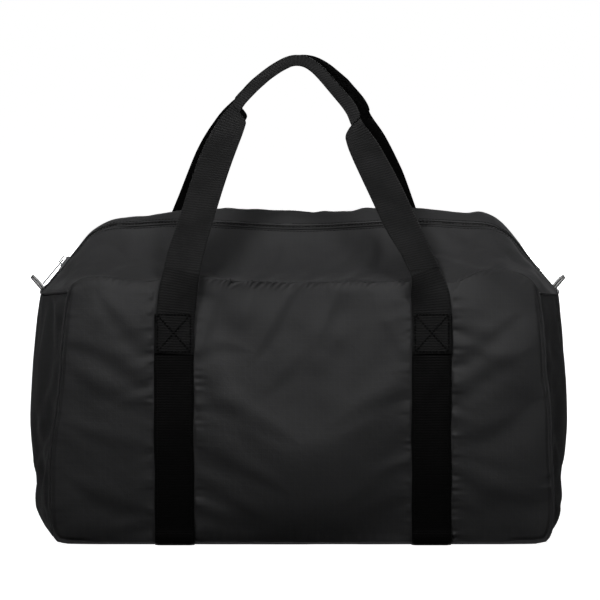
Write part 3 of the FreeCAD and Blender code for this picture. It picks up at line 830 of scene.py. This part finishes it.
# ---------------------------------------------------------------- cloth panels
BELOW_TOP = ACROSS + UP  # first row of the band over the top, and its last
ABOVE_TOP = 2 * ACROSS + UP
AROUND = 2 * (ACROSS + UP)
verts, faces, panel, hold, cols = build_shell()
cloth = fill_with_cloth(verts, faces, hold)


def strap_clear(x):
    """0 under the webbing and 1 away from it."""
    away = np.min([np.abs(x - middle) for middle in STRAP_AT.values()], axis=0)
    return ease(away, STRAP_HALF + 0.0002, STRAP_HALF + 0.0020)


def loosen(points):
    """Small uneven shifts all over, the same for every piece at one place, so that seams stay joined."""
    clear = np.where(np.abs(points[:, 1]) > 0.08, strap_clear(points[:, 0]), 1.0)
    clear = clear * ease(points[:, 2], 0.002, 0.02) * ease(np.abs(points[:, 1]), 0.004, 0.03)
    shift = np.stack([soft_noise(points, 0.021, seed) for seed in (3, 4, 5)], axis=1)
    return points + shift * (clear * 0.0010)[:, None]


def relax(points, rounds, free):
    """Evens out the free points by their neighbours' average."""
    quads = np.array(faces)
    ends = np.concatenate([np.stack([quads[:, k], quads[:, (k + 1) % 4]], axis=1) for k in range(4)])
    ends = np.concatenate([ends, ends[:, ::-1]])
    count = np.bincount(ends[:, 0], minlength=len(points))[:, None]
    for _ in range(rounds):
        total = [np.bincount(ends[:, 0], points[ends[:, 1], k], len(points)) for k in range(3)]
        total = np.stack(total, axis=1)
        points = np.where(free[:, None], points + 0.5 * (total / count - points), points)
    return points


panel_points = np.zeros(len(verts), bool)
for k in np.nonzero(panel < 2)[0]:
    panel_points[list(faces[k])] = True
panel_points[: AROUND * cols] = False
cloth = relax(np.array(cloth), 14, panel_points & (hold < 1))
cloth = loosen(relax(cloth, 2, hold < 1))
band_middle = verts[: AROUND * cols].reshape(AROUND, cols, 3)[:, cols // 2]
band_run = runs_along(band_middle)
uv_panel = verts[:, (0, 2)]
uv_band = np.zeros((len(verts), 2))
uv_band[: AROUND * cols] = np.stack([np.repeat(band_run, cols), verts[: AROUND * cols, 1]], axis=1)
uv_last = uv_band.copy()
uv_last[:cols, 0] = band_run[-1] + 0.005


def faces_of(name, first_col=0, last_col=None):
    which = PANELS.index(name)
    chosen = np.nonzero(panel == which)[0]
    if last_col is None:
        return chosen
    start = chosen[0]
    return [k for k in chosen if first_col <= (k - start) % (cols - 1) < last_col]


def loop_line(col):
    """A seam loop of the filled bag, closed."""
    ring = cloth[: AROUND * cols].reshape(AROUND, cols, 3)[:, col]
    return np.concatenate([ring, ring[:1]])


FRONT_FOLDS = [  # the soft folds on the front, in millimetres: line from left to right, width, height
    ([(-46, 178), (-25, 209), (0, 254)], 6, 1.3),
    ([(14, 186), (30, 221), (42, 250)], 6, 1.0),
    ([(-38, 146), (-9, 170), (7, 192)], 7, 0.9),
    ([(-95, 180), (-80, 228), (-73, 252)], 5, 0.8),
    ([(-56, 206), (-47, 224), (-37, 252)], 5, 0.7),
    ([(60, 200), (63, 225), (62, 252)], 5, 0.7),
    ([(76, 224), (96, 192), (107, 180)], 6.5, 0.9),
    ([(-101, 186), (-75, 194), (-50, 190)], 6, 1.0),
    ([(-101, 139), (-63, 135), (-5, 104)], 8.5, 1.6),
    ([(30, 118), (75, 143), (107, 150)], 8.5, 1.3),
    ([(-101, 98), (-55, 78), (-15, 56)], 8, 1.2),
    ([(-101, 66), (-65, 46), (-35, 28)], 7, 0.9),
    ([(35, 36), (70, 58), (107, 84)], 8, 1.0),
    ([(-192, 245), (-165, 210), (-142, 188)], 7.5, 1.5),
    ([(-223, 198), (-182, 184), (-142, 154)], 8, 1.5),
    ([(-226, 176), (-185, 150), (-142, 136)], 8.5, 1.3),
    ([(-226, 120), (-185, 104), (-142, 98)], 7.5, 0.9),
    ([(-228, 70), (-185, 44), (-142, 34)], 8, 0.9),
    ([(147, 176), (180, 203), (210, 224)], 8, 1.3),
    ([(147, 146), (185, 174), (224, 190)], 8.5, 1.3),
    ([(147, 104), (185, 114), (222, 140)], 8, 1.0),
    ([(147, 74), (185, 54), (225, 44)], 8, 0.9),
]
TOP_FOLDS = [  # the same for the front half of the top, as (x, y) with y from the front seam to the zip
    ([(-88, -96), (-64, -60), (-52, -16)], 7.5, 1.4),
    ([(-50, -96), (-30, -68), (-14, -20)], 6.5, 1.1),
    ([(0, -94), (22, -60), (50, -30)], 7.5, 1.0),
    ([(52, -94), (70, -62), (78, -20)], 6.5, 0.9),
    ([(-205, -94), (-180, -60), (-165, -14)], 8, 1.2),
    ([(150, -20), (168, -60), (190, -92)], 8, 1.2),
]
FOLD_STRENGTH = 0.62  # share of the heights above that the folds on the front have
UNDER_WEBBING = 17  # how far a fold that meets the webbing runs on under it, in millimetres


def run_under(line):
    """Carries each end of a fold that meets the edge of the webbing on under it."""
    line = np.array(line, float)
    longer = [line]
    for place, tip, before in ((0, line[0], line[1]), (2, line[-1], line[-2])):
        off_edge = min(abs(abs(tip[0] - 1000 * middle) - 1000 * STRAP_HALF) for middle in STRAP_AT.values())
        if off_edge < 4:
            further = tip + (tip - before) / np.linalg.norm(tip - before) * UNDER_WEBBING
            longer.insert(0 if place == 0 else len(longer), further[None])
    return np.concatenate(longer)


GATHER_PITCH, GATHER_REACH = 0.0066, 0.0042  # of the small slanted gathers in the seam over the front


def seam_gathers(x, to_seam, seed):
    """Small slanted gathers each side of the front's top seam, strongest left of the middle."""
    strong = 0.25 + np.exp(-(((x + 0.068) / 0.045) ** 2)) + 0.5 * np.exp(-(((x - 0.02) / 0.06) ** 2))
    uneven = soft_noise(np.stack([x, 0 * x, 0 * x], axis=1), 0.011, seed)
    phase = 2 * np.pi * (x + 0.7 * to_seam) / GATHER_PITCH + 2.2 * uneven
    return 0.0017 * strong * (0.65 + 0.5 * uneven) * np.sin(phase) * np.exp(-((to_seam / GATHER_REACH) ** 2))


def shape_panel(obj, side):
    """Folds, gathers at the seams and webbing, and slack, on the front or rear panel."""
    mesh = obj.data
    co, normals = coordinates(mesh), vertex_normals(mesh)
    front = side == "front"
    line = loop_line(0 if front else cols - 1)[:, (0, 2)]
    flat = co[:, (0, 2)]
    mirrored = flat if front else flat * (-1, 1)
    seed = 10 if front else 40
    _, off = nearest_on(line, flat)
    inside = ease(np.abs(off), 0.0005, 0.010)
    where = np.stack([flat[:, 0], np.full(len(flat), seed * 0.1), flat[:, 1]], axis=1)
    high = FOLD_STRENGTH * fold_heights(mirrored, [(run_under(fold), *sizes) for fold, *sizes in FRONT_FOLDS])
    high += 0.0013 * soft_noise(where, (0.070, 1, 0.100), seed)
    high += 0.0004 * soft_noise(where, (0.026, 1, 0.034), seed + 1)
    high *= inside
    high += puckers(flat, line, 0.0045, 0.008, 0.0014, seed + 2)
    gather = np.exp(-(((mirrored[:, 0] + 0.030) / 0.070) ** 2))
    top_or_base = np.where(flat[:, 1] > 0.13, gather, 0.5)
    high += puckers(flat, line, 0.0090, 0.026, 0.0010, seed + 5, slant=0.35) * top_or_base
    seam = line[BELOW_TOP : ABOVE_TOP + 1]
    seam = seam[np.argsort(seam[:, 0])]
    seam_z = np.interp(flat[:, 0], seam[:, 0], seam[:, 1])
    high += seam_gathers(mirrored[:, 0], seam_z - flat[:, 1], 300) * ease(0.205 - np.abs(flat[:, 0]), 0, 0.02)
    for middle in STRAP_AT.values():
        for edge in (-STRAP_HALF, STRAP_HALF):
            strap = np.array([(middle + edge, -0.05), (middle + edge, 0.30)])
            kind = seed + 9 + int(middle > 0) + 2 * int(edge > 0)
            high += puckers(flat, strap, 0.0036, 0.0048, 0.0034, kind)
            high += puckers(flat, strap, 0.0100, 0.024, 0.0020, kind + 20, slant=0.30)
    to_seam = np.abs(off)
    groove = ease(np.abs(flat[:, 0]), 0.195, 0.215) * np.exp(-(((to_seam - 0.0020) / 0.0016) ** 2))
    high -= 0.0022 * groove * (1 - ease(flat[:, 1], 0.243, 0.256))
    high *= strap_clear(flat[:, 0])
    move_to(mesh, co + normals * high[:, None])


def shape_top(obj, side):
    """Folds on half of the top, and gathers at its front or rear seam and beside the zip."""
    mesh = obj.data
    co, normals = coordinates(mesh), vertex_normals(mesh)
    front = side == "front"
    seed = 70 if front else 90
    flat = co[:, :2] * (1, 1 if front else -1)
    mirrored = flat * (1 if front else -1, 1)
    where = np.stack([flat[:, 0], flat[:, 1], np.full(len(flat), seed * 0.1)], axis=1)
    seam = np.array([(-0.30, -SEAM_Y), (0.30, -SEAM_Y)])
    placket = np.array([(-0.30, -ZIP_EDGE), (0.30, -ZIP_EDGE)])
    inside = ease(SEAM_Y + flat[:, 1], 0, 0.012) * ease(-ZIP_EDGE - flat[:, 1], 0, 0.012)
    high = fold_heights(mirrored, TOP_FOLDS) + 0.0010 * soft_noise(where, (0.030, 0.060, 1), seed)
    high = (high + 0.0004 * soft_noise(where, (0.012, 0.030, 1), seed + 1)) * inside
    gather = 0.55 + np.exp(-(((mirrored[:, 0] + 0.066) / 0.040) ** 2))
    high += puckers(flat, seam, 0.0080, 0.018, 0.0009, seed + 2, slant=0.2) * gather
    high += seam_gathers(mirrored[:, 0], -(SEAM_Y + flat[:, 1]), 300)
    high += puckers(flat, placket, 0.0085, 0.012, 0.0006, seed + 4)
    ends = ease(0.2525 - np.abs(co[:, 0]), 0.0, 0.020)
    move_to(mesh, co + normals * (high * ends)[:, None])


def shape_gusset(obj, seed):
    """Long upright folds on an end of the bag."""
    mesh = obj.data
    co, normals = coordinates(mesh), vertex_normals(mesh)
    inside = ease(SEAM_Y - np.abs(co[:, 1]), 0, 0.012) * ease(co[:, 2], 0.0, 0.03)
    inside *= 1 - ease(co[:, 2], 0.225, 0.245)
    where = np.stack([np.full(len(co), seed * 0.1), co[:, 1], co[:, 2]], axis=1)
    high = 0.0030 * soft_noise(where, (1, 0.034, 0.105), seed)
    high += 0.0012 * soft_noise(where, (1, 0.015, 0.050), seed + 1)
    top = ease(co[:, 2], 0.15, 0.235) * 0.0018 * soft_noise(where, (1, 0.011, 0.060), seed + 2)
    seam = np.array([(-SEAM_Y, -0.1), (-SEAM_Y, 0.4)])
    gathers = puckers(co[:, 1:], seam, 0.0068, 0.014, 0.0010, seed + 3)
    gathers += puckers(co[:, 1:], seam * (-1, 1), 0.0068, 0.014, 0.0010, seed + 4)
    move_to(mesh, co + normals * ((high + top) * inside + gathers * ease(co[:, 2], 0.004, 0.02))[:, None])


def cloth_piece(name, chosen, uv, shape, levels=1):
    obj = subdivide(patch(name, cloth, faces, chosen, uv), levels)
    shape(obj)
    thicken(obj, CLOTH)
    mesh = obj.data
    if name == "base_cloth":
        co = coordinates(mesh)
        co[:, 2] = np.maximum(co[:, 2], WEBBING + 0.0002)
        move_to(mesh, co)
    mesh.polygons.foreach_set("use_smooth", [True] * len(mesh.polygons))
    return obj


half_cols = cols // 2
front_half, rear_half = faces_of("top", 0, half_cols - 1), faces_of("top", half_cols + 1, cols - 1)
front_panel, rear_panel = faces_of("front_panel"), faces_of("rear_panel")
right_end, left_end = faces_of("right_gusset"), faces_of("left_gusset")
front_cloth = cloth_piece("front_panel_cloth", front_panel, uv_panel, lambda o: shape_panel(o, "front"), 2)
rear_cloth = cloth_piece("rear_panel_cloth", rear_panel, uv_panel, lambda o: shape_panel(o, "rear"))
base_cloth = cloth_piece("base_cloth", faces_of("base"), uv_band, lambda o: None)
right_cloth = cloth_piece("right_gusset_cloth", right_end, uv_band, lambda o: shape_gusset(o, 120))
left_cloth = cloth_piece("left_gusset_cloth", left_end, uv_last, lambda o: shape_gusset(o, 140))
front_top = cloth_piece("front_top_cloth", front_half, uv_band, lambda o: shape_top(o, "front"), 2)
rear_top = cloth_piece("rear_top_cloth", rear_half, uv_band, lambda o: shape_top(o, "rear"))


# ---------------------------------------------------------------- webbing on the body
STRAP_GAP = 0.0004  # between the cloth and the webbing sewn on it
FLOOR_TURN = 0.0115  # radius of the webbing's turn under the bag
FLOOR_Y = 0.094


def strap_path(x):
    """Middle of the webbing in (y, z), from the front box stitching, under the bag, up the rear."""
    out = STRAP_GAP + WEBBING / 2
    z = np.linspace(STRAP_TOP, FLOOR_TURN + 0.004, 60)
    front = np.stack([-(panel_y(x, z) + out), z], axis=1)
    turn = np.linspace(np.pi, 1.5 * np.pi, 12)
    low = WEBBING / 2 + 0.0001
    corner_y = -FLOOR_Y + FLOOR_TURN * np.cos(turn)
    corner = np.stack([corner_y, low + FLOOR_TURN + FLOOR_TURN * np.sin(turn)], axis=1)
    line = np.concatenate([front, corner, [(0.0, low)]])
    return spaced(np.concatenate([line, line[-2::-1] * (-1, 1)]), 220)


def body_strap(name, middle):
    across = np.linspace(-1, 1, 11)
    paths = np.stack([strap_path(middle + STRAP_HALF * t) for t in across], axis=1)  # (stations, across, 2)
    run = np.gradient(paths, axis=0)
    run /= np.linalg.norm(run, axis=2)[:, :, None]
    out = np.stack([run[:, :, 1], -run[:, :, 0]], axis=2)  # away from the bag
    thick = (WEBBING / 2) * np.where(np.abs(across) > 0.99, 0.45, 1.0)
    rows = np.linspace(0, 1, paths.shape[0])
    waver = 0.0003 * np.sin(rows * 61) + 0.0003 * np.sin(rows * 23 + 1)
    x = middle + STRAP_HALF * across[None, :] + waver[:, None]
    sides = [paths + out * (s * thick)[None, :, None] for s in (1, -1)]
    rings = [np.concatenate([x[:, :, None], side], axis=2) for side in sides]
    sections = np.concatenate([rings[0], rings[1][:, ::-1]], axis=1)
    long = runs_along(paths[:, 5])
    u = np.concatenate([across, across[::-1]]) * STRAP_HALF
    uv = flat_grid(u, long)
    return sweep(name, sections, uv=uv)


straps = {}
for side, middle in STRAP_AT.items():
    strap = body_strap(f"{side}_body_webbing", middle)
    straps[side] = strap
    nodes = f"front_{side}_strap", f"rear_{side}_strap", f"{side}_base_strap"
    finish_piece(strap, SHADED_STRAP_WEBBING, "webbing", *nodes)

# ---------------------------------------------------------------- handles
HANDLE_HALF = 0.0187  # half the webbing's width
LAYER = 0.0009  # from the fold's middle to the middle of each layer of the grip
HANDLE_LINE = [  # x, z and half width seen from the front, in millimetres, over the handle from left to right
    (-120, 188, 18.6), (-118, 230, 18.5), (-111, 275, 17), (-96, 325, 15.5), (-81, 370, 15), (-68, 399, 13),
    (-59, 414, 10.5), (-52, 424, 9), (-37, 439, 9), (-19, 453, 8), (-3, 459, 8), (12, 453, 8.5), (33, 430, 9.5),
    (45, 415, 10), (52, 400, 10.5), (63, 380, 13.5), (82, 343, 15), (97, 312, 15), (112, 284, 13), (121, 264, 14),
    (126, 234, 18), (127, 188, 18.6),
]  # fmt: skip
REAR_SHIFT = [  # x on the front handle, and how far right of it the rear one lies there, in millimetres
    (-104, -8), (-82, -4), (-58, 1), (0, 6), (24, 12), (52, 10), (80, 6), (102, 0), (115, 0),
]  # fmt: skip
LEAN_LOW, LEAN_HIGH = (0.268, 0.1067), (0.458, 0.0175)  # (height, distance from the middle plane) of the lean
LEFT_FOLD, RIGHT_FOLD = 0.4145, 0.400  # heights at which the webbing is half folded
LEFT_TURN, RIGHT_TURN = (0.4080, 0.4210), (0.3920, 0.4130)  # heights from which and to which it folds over
NEAR_FOLD = 0.022  # along the webbing, within which it faces forward
FLAP_RISE = 0.12  # how far the folding half stands off, as a share of its width


def handle_out(x, z):
    """How far the front handle's middle line is from the bag's middle plane."""
    on_panel = panel_y(x, z) + STRAP_GAP + WEBBING * 1.5 + 0.0002
    slope = (LEAN_LOW[1] - LEAN_HIGH[1]) / (LEAN_HIGH[0] - LEAN_LOW[0])
    lean = LEAN_LOW[1] - slope * (z - LEAN_LOW[0])
    lean = np.where(z < LEAN_LOW[0], LEAN_LOW[1] + 0.05 * (LEAN_LOW[0] - z), lean)
    up = ease(z, 0.222, 0.264)
    return on_panel * (1 - up) + lean * up


def handle_frame():
    """Along the front handle: points, run, the webbing's flat direction, half width, turn, and distance."""
    x, z, seen = smooth_curve(np.array(HANDLE_LINE) / 1000, per=28).T
    points = np.stack([x, -handle_out(x, z), z], axis=1)
    run = np.gradient(points, axis=0)
    run /= np.linalg.norm(run, axis=1)[:, None]
    flat = np.stack([-run[:, 2], run[:, 0]], axis=1)
    flat /= np.linalg.norm(flat, axis=1)[:, None]
    distance = runs_along(points)
    folds = np.argmax(z > LEFT_FOLD), len(z) - np.argmax(z[::-1] > RIGHT_FOLD)
    to_fold = np.min([np.abs(distance - distance[k]) for k in folds], axis=0)
    at_fold = np.exp(-((to_fold / NEAR_FOLD) ** 2))
    half_width = HANDLE_HALF + (np.minimum(seen, HANDLE_HALF) - HANDLE_HALF) * at_fold
    away = np.sqrt(np.maximum(half_width**2 - np.minimum(seen, half_width) ** 2, 0)) * ease(z, 0.225, 0.27)
    wide = np.stack([flat[:, 0] * seen, away, flat[:, 1] * seen], axis=1)
    wide -= run * (wide * run).sum(1)[:, None]
    wide /= np.linalg.norm(wide, axis=1)[:, None]
    on_left = np.arange(len(z)) < np.argmax(z)
    turned = np.pi * np.where(on_left, ease(z, *LEFT_TURN), ease(z, *RIGHT_TURN))
    return points, run, wide, half_width, turned, distance


def handle_piece(name, side):
    """One handle: flat webbing on its legs, folded forward in half along its length over the grip."""
    points, run, wide, half_width, turned, distance = handle_frame()
    face = np.cross(run, wide)
    t = np.concatenate([np.linspace(1, 0.12, 8), np.linspace(0.06, -0.06, 5), np.linspace(-0.12, -1, 8)])
    lay = LAYER * np.sin(turned / 2)[:, None] ** 2 * np.tanh(np.abs(t) * 14)[None, :]
    behind = (t < 0)[None, :]
    reach = half_width[:, None] * np.abs(t)[None, :]
    a = np.where(behind, -reach * np.cos(turned)[:, None], reach)
    f = np.where(behind, FLAP_RISE * reach * np.sin(turned)[:, None] + lay, -lay)
    da, df = np.gradient(a, axis=1), np.gradient(f, axis=1)
    long = np.maximum(np.hypot(da, df), 1e-9)
    na, nf = df / long, -da / long
    half = (WEBBING / 2) * np.where(np.abs(t) > 0.99, 0.45, 1.0)[None, :]
    rings = []
    for sign in (1, -1):
        ra, rf = a + sign * na * half, f + sign * nf * half
        rings.append(points[:, None] + wide[:, None] * ra[:, :, None] + face[:, None] * rf[:, :, None])
    sections = np.concatenate([rings[0], rings[1][:, ::-1]], axis=1)
    uv = flat_grid(there_and_back(t) * HANDLE_HALF, distance)
    if side == "rear":
        x, z = points[:, 0], points[:, 2]
        shift = ease(z, 0.235, 0.29) * np.interp(x, *np.array(REAR_SHIFT).T / 1000)
        sections[:, :, 1] *= -1
        sections[:, :, 0] += shift[:, None]
        sections, uv = sections[:, ::-1], uv[:, ::-1]
    return sweep(name, sections, uv=uv)


def lift_with_handle(obj):
    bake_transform(obj)
    return obj


handles = {}
for side in ("front", "rear"):
    handle = handle_piece(f"{side}_handle_webbing", side)
    handles[side] = handle
    # the rear handle takes the darker copy with painted shade
    material = HANDLE_WEBBING_SHADED_LOW if side == "front" else SHADED_REAR_WEBBING
    nodes = [f"{side}_handle_{part}" for part in ("left_leg", "right_leg", "grip")]
    finish_piece(handle, material, "webbing", *nodes, body=None)

# ---------------------------------------------------------------- stitches on the webbing
BOX_LOW, BOX_HIGH = 0.1905, 0.2258  # height of the stitched square
for side, sign in (("front", -1), ("rear", 1)):
    tree = tree_of(handles[side])
    rows = []
    for middle in STRAP_AT.values():
        x0, x1 = middle - STRAP_HALF + 0.0030, middle + STRAP_HALF - 0.0030
        corners = [(x0, BOX_LOW), (x1, BOX_LOW), (x1, BOX_HIGH), (x0, BOX_HIGH)]
        pairs = [(corners[i], corners[(i + 1) % 4]) for i in range(4)]
        pairs += [(corners[0], corners[2]), (corners[1], corners[3])]
        for (xa, za), (xb, zb) in pairs:
            share = np.linspace(0, 1, 12)
            x, z = xa + (xb - xa) * share, za + (zb - za) * share
            rows.append(np.stack([x, sign * (handle_out(x, z) + 0.004), z], axis=1))
    box = sewn(f"{side}_box_thread", rows, tree, radius=0.00085, outward=(0, sign, 0))
    finish_piece(box, THREAD, "thread", f"{side}_box_stitching")
    rows = []
    for middle in STRAP_AT.values():
        for edge in (-1, 1):
            z = np.linspace(0.018, BOX_LOW - 0.006, 40)
            x = np.full(40, middle + edge * (STRAP_HALF - 0.0022))
            rows.append(np.stack([x, sign * (panel_y(x, z) + 0.006), z], axis=1))
    tree = tree_of(*straps.values())
    name = f"{side}_strap_edge_thread"
    edge_thread = sewn(name, rows, tree, radius=0.00032, lift=0.0, outward=(0, sign, 0))
    finish_piece(edge_thread, THREAD, "thread")

for side, sign in (("front", -1), ("rear", 1)):
    mesh = handles[side].data
    around = 42
    rings = coordinates(mesh)[: len(mesh.vertices) // around * around].reshape(-1, around, 3)
    keep = rings[:, 0, 2] > 0.428
    column = 22 if side == "front" else around - 23
    line = rings[keep][:, column]
    grip = sewn(f"{side}_grip_thread", [line], tree_of(handles[side]), radius=0.00036, lift=0.0001)
    finish_piece(grip, THREAD, "thread", f"{side}_grip_stitching", body=f"{side}_handle")
    lift_with_handle(handles[side])

# ---------------------------------------------------------------- seams
for side, sign, col in (("front", -1, 0), ("rear", 1, cols - 1)):
    line = loop_line(col)[:-1]
    middle = line.mean(axis=0)
    outward = line - middle
    outward[:, 1] = 0
    outward /= np.linalg.norm(outward, axis=1)[:, None]
    up = outward * 0.8 + np.array([0, sign * 0.6, 0])
    wobble = soft_noise(line, 0.017, 200)[:, None]
    on_top = ease(line[:, 2], 0.235, 0.252)
    path = line + up * (0.0002 + 0.0003 * wobble - 0.0004 * on_top[:, None])
    path[:, 2] = np.maximum(path[:, 2], 0.0034)
    sections = tube_sections(path, 0.0020 - 0.0010 * on_top, 0.0034 - 0.0026 * on_top, up)
    piping = sweep(f"{side}_seam_edge", sections, closed=True, uv=sections[:, :, (0, 2)])
    finish_piece(piping, BLACK_NYLON, "nylon_cloth")
    deep, thick = 0.009, 0.0012
    inner = line - outward * 0.0030 - np.array([0, sign * 0.0032, 0])
    along = -outward * 0.45 - np.array([0, sign * 0.9, 0])
    across = -outward * 0.9 + np.array([0, sign * 0.45, 0])
    far = inner + along * deep
    binding = np.stack([inner, far, far + across * thick, inner + across * thick], axis=1)
    uv = flat_grid([0, deep, deep, 0], runs_along(line))
    bound = sweep(f"{side}_seam_tape", binding, closed=True, uv=uv)
    finish_piece(bound, SEAM_TAPE, "seam_tape", f"{side}_seam_binding")

for side, row in (("right", BELOW_TOP), ("left", ABOVE_TOP)):
    line = cloth[row * cols : (row + 1) * cols]
    out = np.array([1 if side == "right" else -1, 0, 1]) / math.sqrt(2)
    sections = tube_sections(line + out * 0.0003, 0.0020, 0.0032, out)
    end = sweep(f"{side}_end_seam_edge", sections, uv=sections[:, :, 1:])
    finish_piece(end, BLACK_NYLON, "nylon_cloth")

# ---------------------------------------------------------------- zip
ZIP_CELLS = 420
zip_run = zip_line(ZIP_CELLS)[::-1]  # from the left end to the right
zip_points = np.stack([zip_run[:, 0], np.zeros(len(zip_run)), zip_run[:, 1]], axis=1)
zip_steps = runs_along(zip_points)
zip_along = np.gradient(zip_points, axis=0)
zip_along /= np.linalg.norm(zip_along, axis=1)[:, None]
zip_out = np.cross(zip_along, (0, 1, 0))
zip_out *= np.sign(zip_out[:, 2:3] + 1e-9)
TEETH_FROM = 0.0320  # the first tooth, from each end of the zip
TOOTH_PITCH = 0.0017
TAPE_INNER, TAPE_OUTER = 0.0006, 0.0102
TAPE_LOW, TAPE_THICK = -0.0018, 0.0007


def on_zip(distance, across, out):
    """A point beside the zip's middle line."""
    p = at_runs(zip_points, zip_steps, distance)
    n = at_runs(zip_out, zip_steps, distance)
    return p + n * np.asarray(out)[..., None] + np.array([0, 1, 0]) * np.asarray(across)[..., None]


whole_zip = zip_steps[-1]
for side, sign in (("front", -1), ("rear", 1)):
    at = np.linspace(0.002, whole_zip - 0.002, 300)
    profile = [(TAPE_INNER, 0), (0.0030, 0), (0.0065, 0), (TAPE_OUTER, -0.0006)]
    upper = [(y, n + TAPE_LOW + TAPE_THICK) for y, n in profile]
    profile = upper + [(y, n + TAPE_LOW) for y, n in profile[::-1]]
    sections = np.stack([on_zip(at, np.full(300, sign * y), np.full(300, n)) for y, n in profile], axis=1)
    uv = flat_grid([y for y, _ in profile], at)
    if sign > 0:
        sections, uv = sections[:, ::-1], uv[:, ::-1]
    strip = sweep(f"{side}_zip_tape_weave", sections, uv=uv)
    finish_piece(strip, ZIP_TAPE, "zip_tape", f"{side}_zip_tape", f"{side}_zip_tape_ends", body=None)
    bend_with_lid(strip)
    at = np.arange(TEETH_FROM, whole_zip - TEETH_FROM, TOOTH_PITCH) + (0 if sign < 0 else TOOTH_PITCH / 2)
    count = len(at)
    lean = 0.0005
    outer = on_zip(at - lean, np.full(count, sign * 0.0027), np.full(count, -0.0002))
    inner = on_zip(at + lean, np.full(count, -sign * 0.0005), np.full(count, 0.0002))
    still = np.zeros(count)
    ups = on_zip(at, still, np.ones(count)) - on_zip(at, still, still)
    teeth = capsules(f"{side}_zip_teeth", outer, inner, ups, 0.00062)
    finish_piece(teeth, COIL, "zip_coil", f"{side}_zip_coil", f"{side}_zip_coil_ends", body=None)
    bend_with_lid(teeth)

for side, obj, sign in (("front", front_top, -1), ("rear", rear_top, 1)):
    tree = tree_of(obj)
    rows = []
    for across in (0.0022, 0.0078):
        at = np.linspace(0.006, whole_zip - 0.006, 220)
        rows.append(on_zip(at, np.full(220, sign * (ZIP_EDGE + across)), np.full(220, 0.002 - across * 0.3)))
    thread = sewn(f"{side}_placket_thread", rows, tree, radius=0.00034, lift=0.0001, outward=(0, 0, 1))
    finish_piece(thread, THREAD, "thread", body=None)
    bend_with_lid(thread)


def metal_piece(*names):
    """A CAD node of hardware that stays, with its edges rounded over."""
    for name in names:
        obj = frame["nodes"][name]
        obj.data.materials.clear()
        obj.data.materials.append(METAL)
        mod = obj.modifiers.new("rounded", "BEVEL")
        mod.width = 0.00035
        mod.segments = 3
        mod.limit_method = "ANGLE"


metal_piece("zip_slider", "zip_puller", "zip_top_stops", "zip_bottom_stop")

# ---------------------------------------------------------------- finger tabs
TAB_LEAN = math.radians(35)
TAB_LONG, TAB_WIDE, TAB_LAYER = 0.0170, 0.0215, 0.0009
TAB_HEM = 0.0022  # from its sides to its stitches
TAB_INSET = {"left": 0.0005, "right": 0.0035}  # from where the joint's axis is
for side, sign in (("left", -1), ("right", 1)):
    root = PIVOT[f"{side}_tab_bend"]
    root = np.array([root.x - sign * TAB_INSET[side], 0, root.z])
    up = np.array([sign * math.sin(TAB_LEAN), 0, math.cos(TAB_LEAN)])
    out = np.array([sign * math.cos(TAB_LEAN), 0, -math.sin(TAB_LEAN)])
    bow = 0.00115
    turn = np.linspace(0, np.pi, 9)
    climb = np.linspace(-0.0035, TAB_LONG - bow, 16)
    path = [(bow * (0.75 + 0.35 * math.sin(3.1 * c / TAB_LONG)), c) for c in climb]
    path += [(bow * math.cos(a), TAB_LONG - bow + bow * math.sin(a)) for a in turn[1:-1]]
    path += [(-bow * (0.75 + 0.35 * math.sin(3.1 * c / TAB_LONG)), c) for c in climb[::-1]]
    path = np.array(path)
    run = np.gradient(path, axis=0)
    run /= np.linalg.norm(run, axis=1)[:, None]
    normal = np.stack([run[:, 1], -run[:, 0]], axis=1)
    across = np.linspace(-1, 1, 9)
    bend = 0.0016 * (path[:, 1] / TAB_LONG) ** 2
    rings = []
    for s in (1, -1):
        flat = path + normal * (s * TAB_LAYER / 2)
        mid = root + out * (flat[:, :1] + bend[:, None]) + up * flat[:, 1:]
        edge = np.where(np.abs(across) > 0.99, 0.0, 1.0)
        pulled = mid[:, None] + np.array([0, 1, 0]) * (across * TAB_WIDE / 2)[None, :, None]
        inward = (path[:, None, :] - flat[:, None, :]) * (1 - edge)[None, :, None] * 0.5
        rings.append(pulled + out * inward[:, :, :1] + up * inward[:, :, 1:])
    sections = np.concatenate([rings[0], rings[1][:, ::-1]], axis=1)
    uv = flat_grid(there_and_back(across) * TAB_WIDE / 2, runs_along(path))
    tab = sweep(f"{side}_finger_tab_cloth", sections, uv=uv)
    finish_piece(tab, TAB_NYLON, "nylon_cloth", f"{side}_tab", body=None)
    tree = tree_of(tab)
    rows = []
    for face in (1, -1):
        for y in (-TAB_WIDE / 2 + TAB_HEM, TAB_WIDE / 2 - TAB_HEM):
            beside = root + out * face * 0.004 + np.array([0, y, 0])
            rows.append(np.array([beside + up * c for c in (0.002, TAB_LONG - 0.002)]))
    thread = sewn(f"{side}_finger_tab_thread", rows, tree, radius=0.00030, lift=0.0)
    finish_piece(thread, PALE_THREAD, "thread", body=None)
    for obj in (tab, thread):
        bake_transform(obj)

# ---------------------------------------------------------------- cloth: material and body
for obj, node in (
    (front_cloth, "front_panel"), (rear_cloth, "rear_panel"), (base_cloth, "base_panel"),
    (left_cloth, "left_gusset"), (right_cloth, "right_gusset"),
):  # fmt: skip
    finish_piece(obj, BLACK_NYLON, "nylon_cloth", node)
for side, obj in (("front", front_top), ("rear", rear_top)):
    nodes = f"{side}_top_panel", f"{side}_left_shoulder", f"{side}_right_shoulder"
    finish_piece(obj, BLACK_NYLON, "nylon_cloth", *nodes, body=None)
    bend_with_lid(obj)
